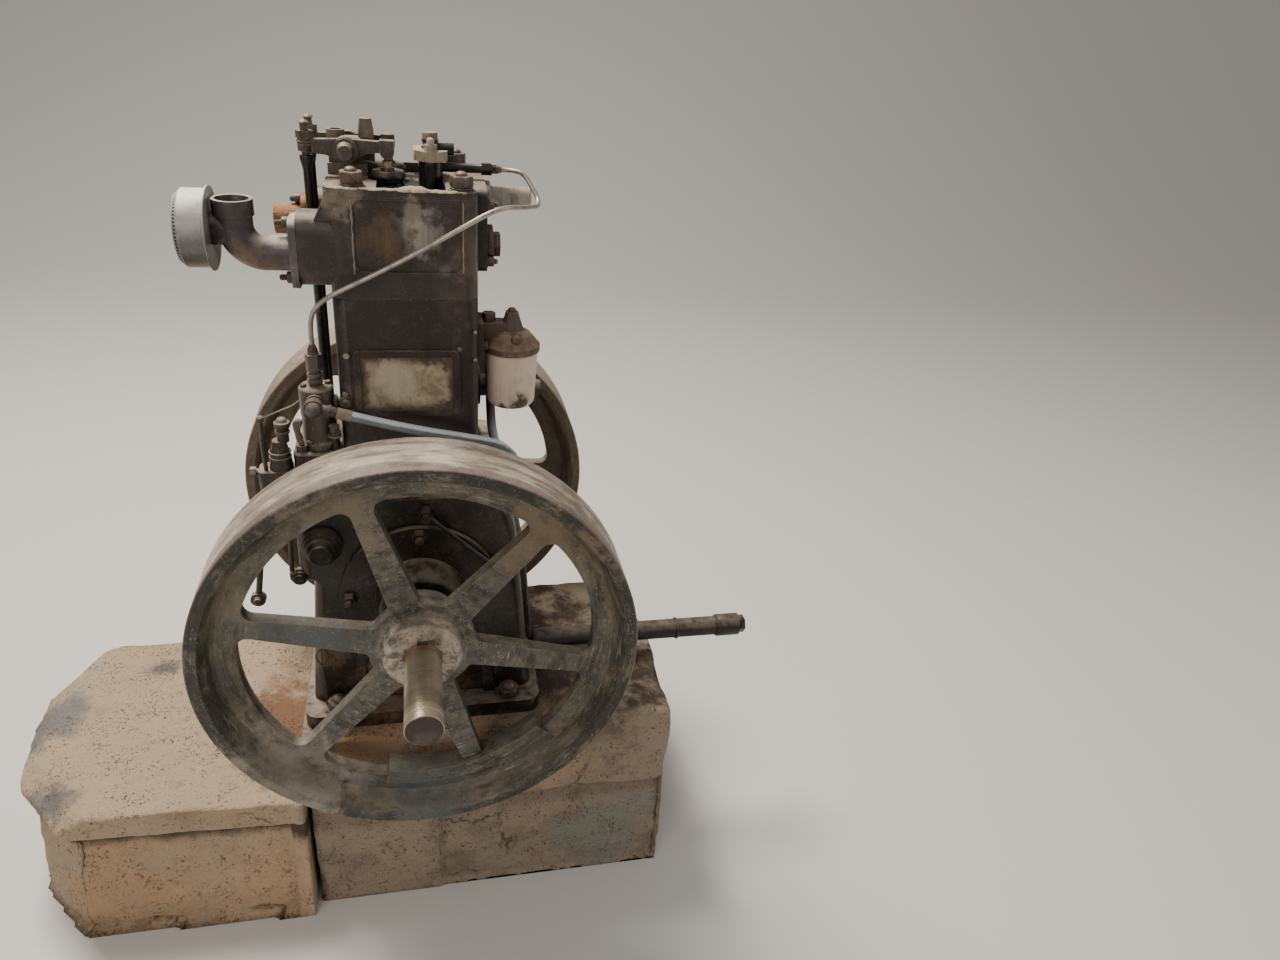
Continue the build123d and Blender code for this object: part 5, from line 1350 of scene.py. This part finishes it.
# Fuel filter. A smooth pressed bowl hangs under a rusty cast head, which an arm bolts to the
# cylinder. The bowl is pale with dust and speckled with oil near its foot.
bowl_stains = [
    ((0.150, -0.075, 0.866), 0.020, 1.0, (0.06, 0.045, 0.035)),
    ((0.122, -0.075, 0.862), 0.014, 1.0, (0.10, 0.075, 0.055)),
]
bowl_beige = weathered(
    "dusty_pale_bowl", (0.66, 0.535, 0.445), (0.55, 0.44, 0.36), bare=(0.62, 0.56, 0.49),
    dust=(0.66, 0.59, 0.50), patches=0.4, rust=0.02, dusting=0.4, wear=0.3, grime_and_shade=0.6, cast=0.15,
    bump=0.0002, rough=(0.45, 0.75), soot=0.1, runs=0.25, stains=bowl_stains,
)
bowl_low, bowl_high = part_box("fuel_filter_bowl")
bowl_tall = bowl_high.z - bowl_low.z
bowl_radius = (bowl_high.x - bowl_low.x) / 2
bowl_place = at((bowl_low.x + bowl_high.x) / 2, (bowl_low.y + bowl_high.y) / 2, bowl_low.z)
profile = [(0.004, 0.0002), (0.010, 0.0002), (0.011, 0.003), (0.022, 0.0034)]
for i in range(7):
    angle = math.pi / 2 * i / 6
    profile.append((bowl_radius - 0.0125 + 0.0095 * math.sin(angle), 0.0135 - 0.0100 * math.cos(angle)))
profile += [(bowl_radius - 0.0016, 0.050), (bowl_radius - 0.0006, bowl_tall - 0.012)]
profile += [(bowl_radius, bowl_tall - 0.010), (bowl_radius, bowl_tall)]
bm = bmesh.new()
turned(bm, bowl_place, profile, 64)
show("filter_bowl", bm, bowl_beige, replaces=("fuel_filter_bowl",))

brown_rust = weathered(
    "brown_rusty_casting", (0.085, 0.058, 0.044), (0.165, 0.108, 0.074), bare=(0.27, 0.19, 0.13),
    dust=(0.36, 0.27, 0.19), rust=0.45, dusting=0.8, wear=0.6, size=1.5, cast=0.8, rough=(0.6, 0.9),
)
dress("fuel_filter_head", brown_rust, 0.0015)
bm = bmesh.new()
for y in (-0.060, -0.020):
    nut(bm, at(0.0968, y, 0.955, "right"), 0.012, 0.007)
turned(bm, at(0.139, -0.040, 0.9998), [(0.006, 0), (0.006, 0.003), (0.0045, 0.005)], 20)
show("filter_head_screws", bm, rusty_steel)


# Governor. The bracket, bell and barrel of the governor stand beside the pump, with a hanging
# control link, a bent wire to the pump and two rods that go down the side of the crankcase.
governor_brown = weathered(
    "dusty_governor_brown", (0.050, 0.040, 0.034), (0.095, 0.078, 0.064), bare=(0.22, 0.185, 0.15),
    dust=(0.33, 0.28, 0.225), rust=0.15, dusting=0.9, wear=0.8, size=1.7, bump=0.0004, rough=(0.4, 0.82),
    specks=0.8,
)
dress("governor_lever", governor_brown, 0.001)
bell_x, barrel_x, governor_y = -0.178, -0.184, -0.101
barrel_ring = [(0.0135, 0), (0.0150, 0.0008), (0.0150, 0.0020), (0.0135, 0.0028)]
bell_ring = [(0.0085, 0), (0.0098, 0.0006), (0.0098, 0.0030), (0.0085, 0.0036)]
bell_cap = [
    (0.0085, 0), (0.0104, 0.0006), (0.0104, 0.0040), (0.0078, 0.0052), (0.0060, 0.0090), (0.0035, 0.0104)
]
bm = bmesh.new()
for z in (0.7985, 0.8065, 0.8145):
    turned(bm, at(barrel_x, governor_y, z), barrel_ring, 30, False)
turned(bm, at(bell_x, governor_y, 0.8440), bell_ring, 30, False)
turned(bm, at(bell_x, governor_y, 0.8560), bell_cap, 30)
show("governor_rings", bm, pump_brown)

pin_profile = [(0.0072, -0.012), (0.0072, 0.002), (0.0058, 0.0032), (0.0058, 0.0062), (0.0040, 0.0075)]
pin_turnings = [(at(-0.238, -0.1065, 0.570, "front"), pin_profile, 24)]
turned_piece("governor_eye_pin", governor_brown, pin_turnings)
pull_rod = [(-0.1800, -0.110, 0.765), (-0.1815, -0.110, 0.700), (-0.1850, -0.112, 0.622)]
wire_piece("governor_pull_rod", governor_brown, pull_rod, 0.0034, 12)
link_x, link_y = -0.2035, -0.108
wire_run = [
    (link_x, link_y, 0.8680), (-0.1960, -0.1085, 0.8715), (-0.1756, -0.109, 0.8812),
    (-0.1600, -0.108, 0.8880), (-0.1530, -0.100, 0.8905),
]
wire_piece("governor_wire", drawn_steel, smooth_run(wire_run, 5), 0.0012, 6)

link_run = [(link_x, link_y, 0.7850), (link_x - 0.001, link_y, 0.8300), (link_x, link_y, 0.8640)]
link_eye = [(0.0048, -0.005), (0.0048, 0.0), (0.0036, 0.0012), (0.0036, 0.0032), (0.0022, 0.004)]
bm = bmesh.new()
tube(bm, link_run, lambda t: 0.0028 + 0.0006 * math.sin(3 * t), 10)
turned(bm, at(link_x, -0.1105, 0.8675, "front"), link_eye, 20)
show("governor_wire_link", bm, governor_brown)

control_x = -0.1560
control_run = [
    (control_x, -0.108, 0.8640), (-0.1575, -0.113, 0.8540), (-0.1550, -0.114, 0.8420),
    (-0.1535, -0.113, 0.8330),
]
control_eye = [(0.0058, 0), (0.0062, 0.001), (0.0062, 0.009), (0.0058, 0.010)]
bm = bmesh.new()
tube(bm, smooth_run(control_run, 4), lambda t: 0.0036 + 0.0014 * abs(math.sin(7 * t)), 10)
turned(bm, at(control_x, -0.1180, 0.8625, "back"), control_eye, 20)
show("control_link", bm, post_tan)


# Flywheels. Heavy spoked castings of about 60 kg. Green-grey paint is left on the spokes and plate,
# the front ring is darker, the hub is rusty, and a scoured band round the tread is purple-brown.
def wheel_plane(tree):
    height = minus(tree, coordinate(tree, "Z"), axle_z)
    plane = put(tree, "CombineXYZ", {"X": coordinate(tree, "X"), "Z": height}).outputs[0]
    return plane, put(tree, "VectorMath", {0: plane}, operation="LENGTH").outputs["Value"]


def round_streaks(tree, along, offset, scale, detail, rough):
    plane, radius = wheel_plane(tree)
    outward = put(tree, "VectorMath", {0: plane}, operation="NORMALIZE").outputs[0]
    swept = put(tree, "VectorMath", {0: outward, "Scale": along}, operation="SCALE").outputs[0]
    shifted = put(tree, "CombineXYZ", {"Y": radius}).outputs[0]
    swept = put(tree, "VectorMath", {0: swept, 1: shifted}, operation="ADD").outputs[0]
    depth = plus(tree, coordinate(tree, "Y"), offset)
    look = {"Vector": swept, "W": depth, "Scale": scale, "Detail": detail, "Roughness": rough}
    return put(tree, "TexNoise", look, noise_dimensions="4D").outputs["Fac"]


tree, given, result = shader_group(
    "wheel_streaks", {"Dark": 0.5, "Pale": 0.5, "Scratch": 0.5}, ("Dark", "Pale", "Scratch", "Height")
)
banded = round_streaks(tree, 0.045, 0.0, 60.0, 7.0, 0.74)
paler = round_streaks(tree, 0.09, 3.7, 75.0, 8.0, 0.76)
cuts = round_streaks(tree, 0.022, 9.1, 330.0, 5.0, 0.7)
open_ground = smooth(tree, speckle(tree, 16.0, 5.0, 0.7), 0.42, 0.62)
give(
    tree,
    result,
    Dark=times(tree, smooth(tree, banded, 0.54, 0.40), given["Dark"]),
    Pale=times(tree, smooth(tree, paler, 0.50, 0.62), given["Pale"]),
    Scratch=times(tree, smooth(tree, cuts, 0.56, 0.66), open_ground, given["Scratch"]),
    Height=times(tree, plus(tree, banded, paler), 0.8),
)
wheel_streaks = tree

wheel_parts = ("Hub", "Spoke", "Ring", "Edge", "Tread", "Band")
tree, given, result = shader_group(
    "wheel_zones", {**{part: (0.1, 0.1, 0.1, 1) for part in wheel_parts}, "Start": 0.286}, ("Colour", "Mask")
)
plane, radius = wheel_plane(tree)
jitter = shaky(tree, 30.0, 0.030, 6.0, 0.7)
ragged = plus(tree, radius, jitter)
tone = given["Hub"]
for part, start, end in (("Spoke", 0.050, 0.066), ("Ring", 0.222, 0.262), ("Edge", 0.272, 0.284)):
    tone = mixed(tree, smooth(tree, ragged, start, end), tone, given[part])
from_middle = plus(tree, unsigned(tree, coordinate(tree, "Y")), times(tree, jitter, 0.5))
band = smooth(tree, from_middle, given["Start"], plus(tree, given["Start"], 0.009))
tread = mixed(tree, band, given["Tread"], given["Band"])
tread_radius = 0.2976
outermost = smooth(tree, radius, tread_radius - 0.0008, tread_radius)
give(tree, result, Colour=mixed(tree, outermost, tone, tread), Mask=times(tree, band, outermost))
wheel_zones = tree

streak_dark = (0.020, 0.017, 0.014)
streak_pale = (0.215, 0.180, 0.125)
scratch_grey = (0.40, 0.39, 0.36)


def wheel_finish(name, first, second, band_start, dark, pale, scratch, dusting, stains=()):
    def zones(tree):
        streaks = grouped(tree, wheel_streaks, Dark=dark, Pale=pale, Scratch=scratch)
        drawn = []
        for colours in (first, second):
            paints = {part: solid(colour) for part, colour in zip(wheel_parts, colours)}
            made = grouped(tree, wheel_zones, Start=band_start, **paints)
            tone = mixed(tree, streaks["Dark"], made["Colour"], solid(streak_dark))
            tone = mixed(tree, streaks["Pale"], tone, solid(streak_pale))
            tone = mixed(tree, streaks["Scratch"], tone, solid(scratch_grey))
            drawn.append(mixed(tree, times(tree, made["Mask"], 0.7), tone, paints["Band"]))
        return drawn[0], drawn[1], streaks["Height"]

    return weathered(
        name, bare=(0.30, 0.26, 0.20), dust=(0.40, 0.335, 0.26), patches=0.55, rust=0.24,
        rust_light=(0.24, 0.15, 0.085), dusting=dusting, wear=0.85, grime_and_shade=0.75, cast=0.9, bump=0.0012,
        rough=(0.40, 0.82), soot=0.45, runs=0.25, specks=0.6, stains=stains, zones=zones,
    )


front_wheel_first = [
    (0.45, 0.39, 0.32), (0.082, 0.084, 0.072), (0.088, 0.086, 0.066),
    (0.024, 0.023, 0.019), (0.40, 0.34, 0.285), (0.105, 0.074, 0.076),
]
front_wheel_second = [
    (0.56, 0.50, 0.42), (0.165, 0.150, 0.112), (0.175, 0.150, 0.100),
    (0.048, 0.042, 0.032), (0.56, 0.49, 0.42), (0.17, 0.130, 0.128),
]
front_wheel_stains = [
    ((-0.20, -0.28, 0.37), 0.13, 0.7, (0.24, 0.215, 0.175)),
    ((0.0, -0.28, 0.32), 0.09, 0.9, (0.080, 0.088, 0.088)),
    ((-0.14, -0.28, 0.60), 0.10, 0.9, (0.080, 0.086, 0.088)),
    ((0.17, -0.28, 0.75), 0.10, 0.9, (0.16, 0.120, 0.075)),
    ((-0.10, -0.28, 0.80), 0.08, 0.8, (0.17, 0.140, 0.095)),
]
rear_wheel_first = [
    (0.13, 0.09, 0.06), (0.17, 0.125, 0.085), (0.15, 0.110, 0.075),
    (0.13, 0.095, 0.065), (0.20, 0.150, 0.110), (0.16, 0.120, 0.088),
]
rear_wheel_second = [
    (0.20, 0.14, 0.095), (0.24, 0.18, 0.125), (0.20, 0.150, 0.105),
    (0.19, 0.140, 0.100), (0.27, 0.21, 0.155), (0.22, 0.17, 0.125),
]
front_wheel_iron = wheel_finish(
    "front_wheel_paint", front_wheel_first, front_wheel_second,
    band_start=0.287, dark=0.80, pale=0.62, scratch=0.80, dusting=0.22, stains=front_wheel_stains,
)
rear_wheel_iron = wheel_finish(
    "rear_wheel_rust", rear_wheel_first, rear_wheel_second,
    band_start=0.40, dark=0.35, pale=0.45, scratch=0.30, dusting=0.6,
)
dress("front_flywheel", front_wheel_iron, 0.0022)
dress("rear_flywheel", rear_wheel_iron, 0.0022)
dress("drive_pulley", rear_wheel_iron, 0.0015)


# Crankshaft. Turned steel with a straw-brown film, ringed where couplings have worn it, and dark
# with dried oil on its end face. A key in each hub locks the wheel to it.
hub_end, worn_ring_y, groove_y, end_face = 0.335, 0.394, 0.4195, 0.4347
shaft_steel, tree, shader = fresh_material("turned_shaft_steel")
along = coordinate(tree, "Y")
from_centre = unsigned(tree, along)
stretched = put(tree, "CombineXYZ", {"Y": along}).outputs[0]
ring_look = {"Vector": stretched, "Scale": 150.0, "Detail": 4.0, "Roughness": 0.7}
rings = put(tree, "TexNoise", ring_look).outputs["Fac"]


def shaft_ring(place, reach, fade):
    return smooth(tree, unsigned(tree, minus(tree, from_centre, place)), reach, fade)


tone = grouped(
    tree, blotches, First=(0.43, 0.355, 0.27, 1), Second=(0.56, 0.51, 0.43, 1), Scale=26.0, Amount=0.5
)
creep = grouped(tree, rust_creep, Scale=30.0, Amount=0.25)
rusty = larger(tree, creep["Mask"], times(tree, smooth(tree, from_centre, hub_end, hub_end - 0.04), 0.8))
groove = shaft_ring(groove_y, 0.0020, 0.0012)
lying = grouped(tree, settled_dust, Amount=0.6, Scale=40.0)
colour = tone["Colour"]
for mask, layer_colour in (
    (smooth(tree, rings, 0.52, 0.66), (0.115, 0.082, 0.055, 1)),
    (rusty, creep["Colour"]),
    (times(tree, shaft_ring(worn_ring_y, 0.016, 0.012), 0.55), (0.10, 0.075, 0.055, 1)),
    (times(tree, groove, 0.8), (0.62, 0.58, 0.50, 1)),
    (smooth(tree, from_centre, end_face - 0.0012, end_face), (0.045, 0.037, 0.030, 1)),
    (lying["Mask"], (0.42, 0.35, 0.27, 1)),
):
    colour = mixed(tree, mask, colour, layer_colour)
tree.links.new(colour, shader["Base Color"])
dull = put(tree, "MapRange", {"Value": rusty, "To Min": 0.33, "To Max": 0.8}).outputs["Result"]
tree.links.new(dull, shader["Roughness"])
shader["Metallic"].default_value = 0.55
bumped(tree, shader, minus(tree, rings, times(tree, groove, 0.6)), 0.0007)
dress("crankshaft", shaft_steel, 0.0006)
for key in ("front_wheel_key", "rear_wheel_key"):
    dress(key, rusty_steel, 0.0006)
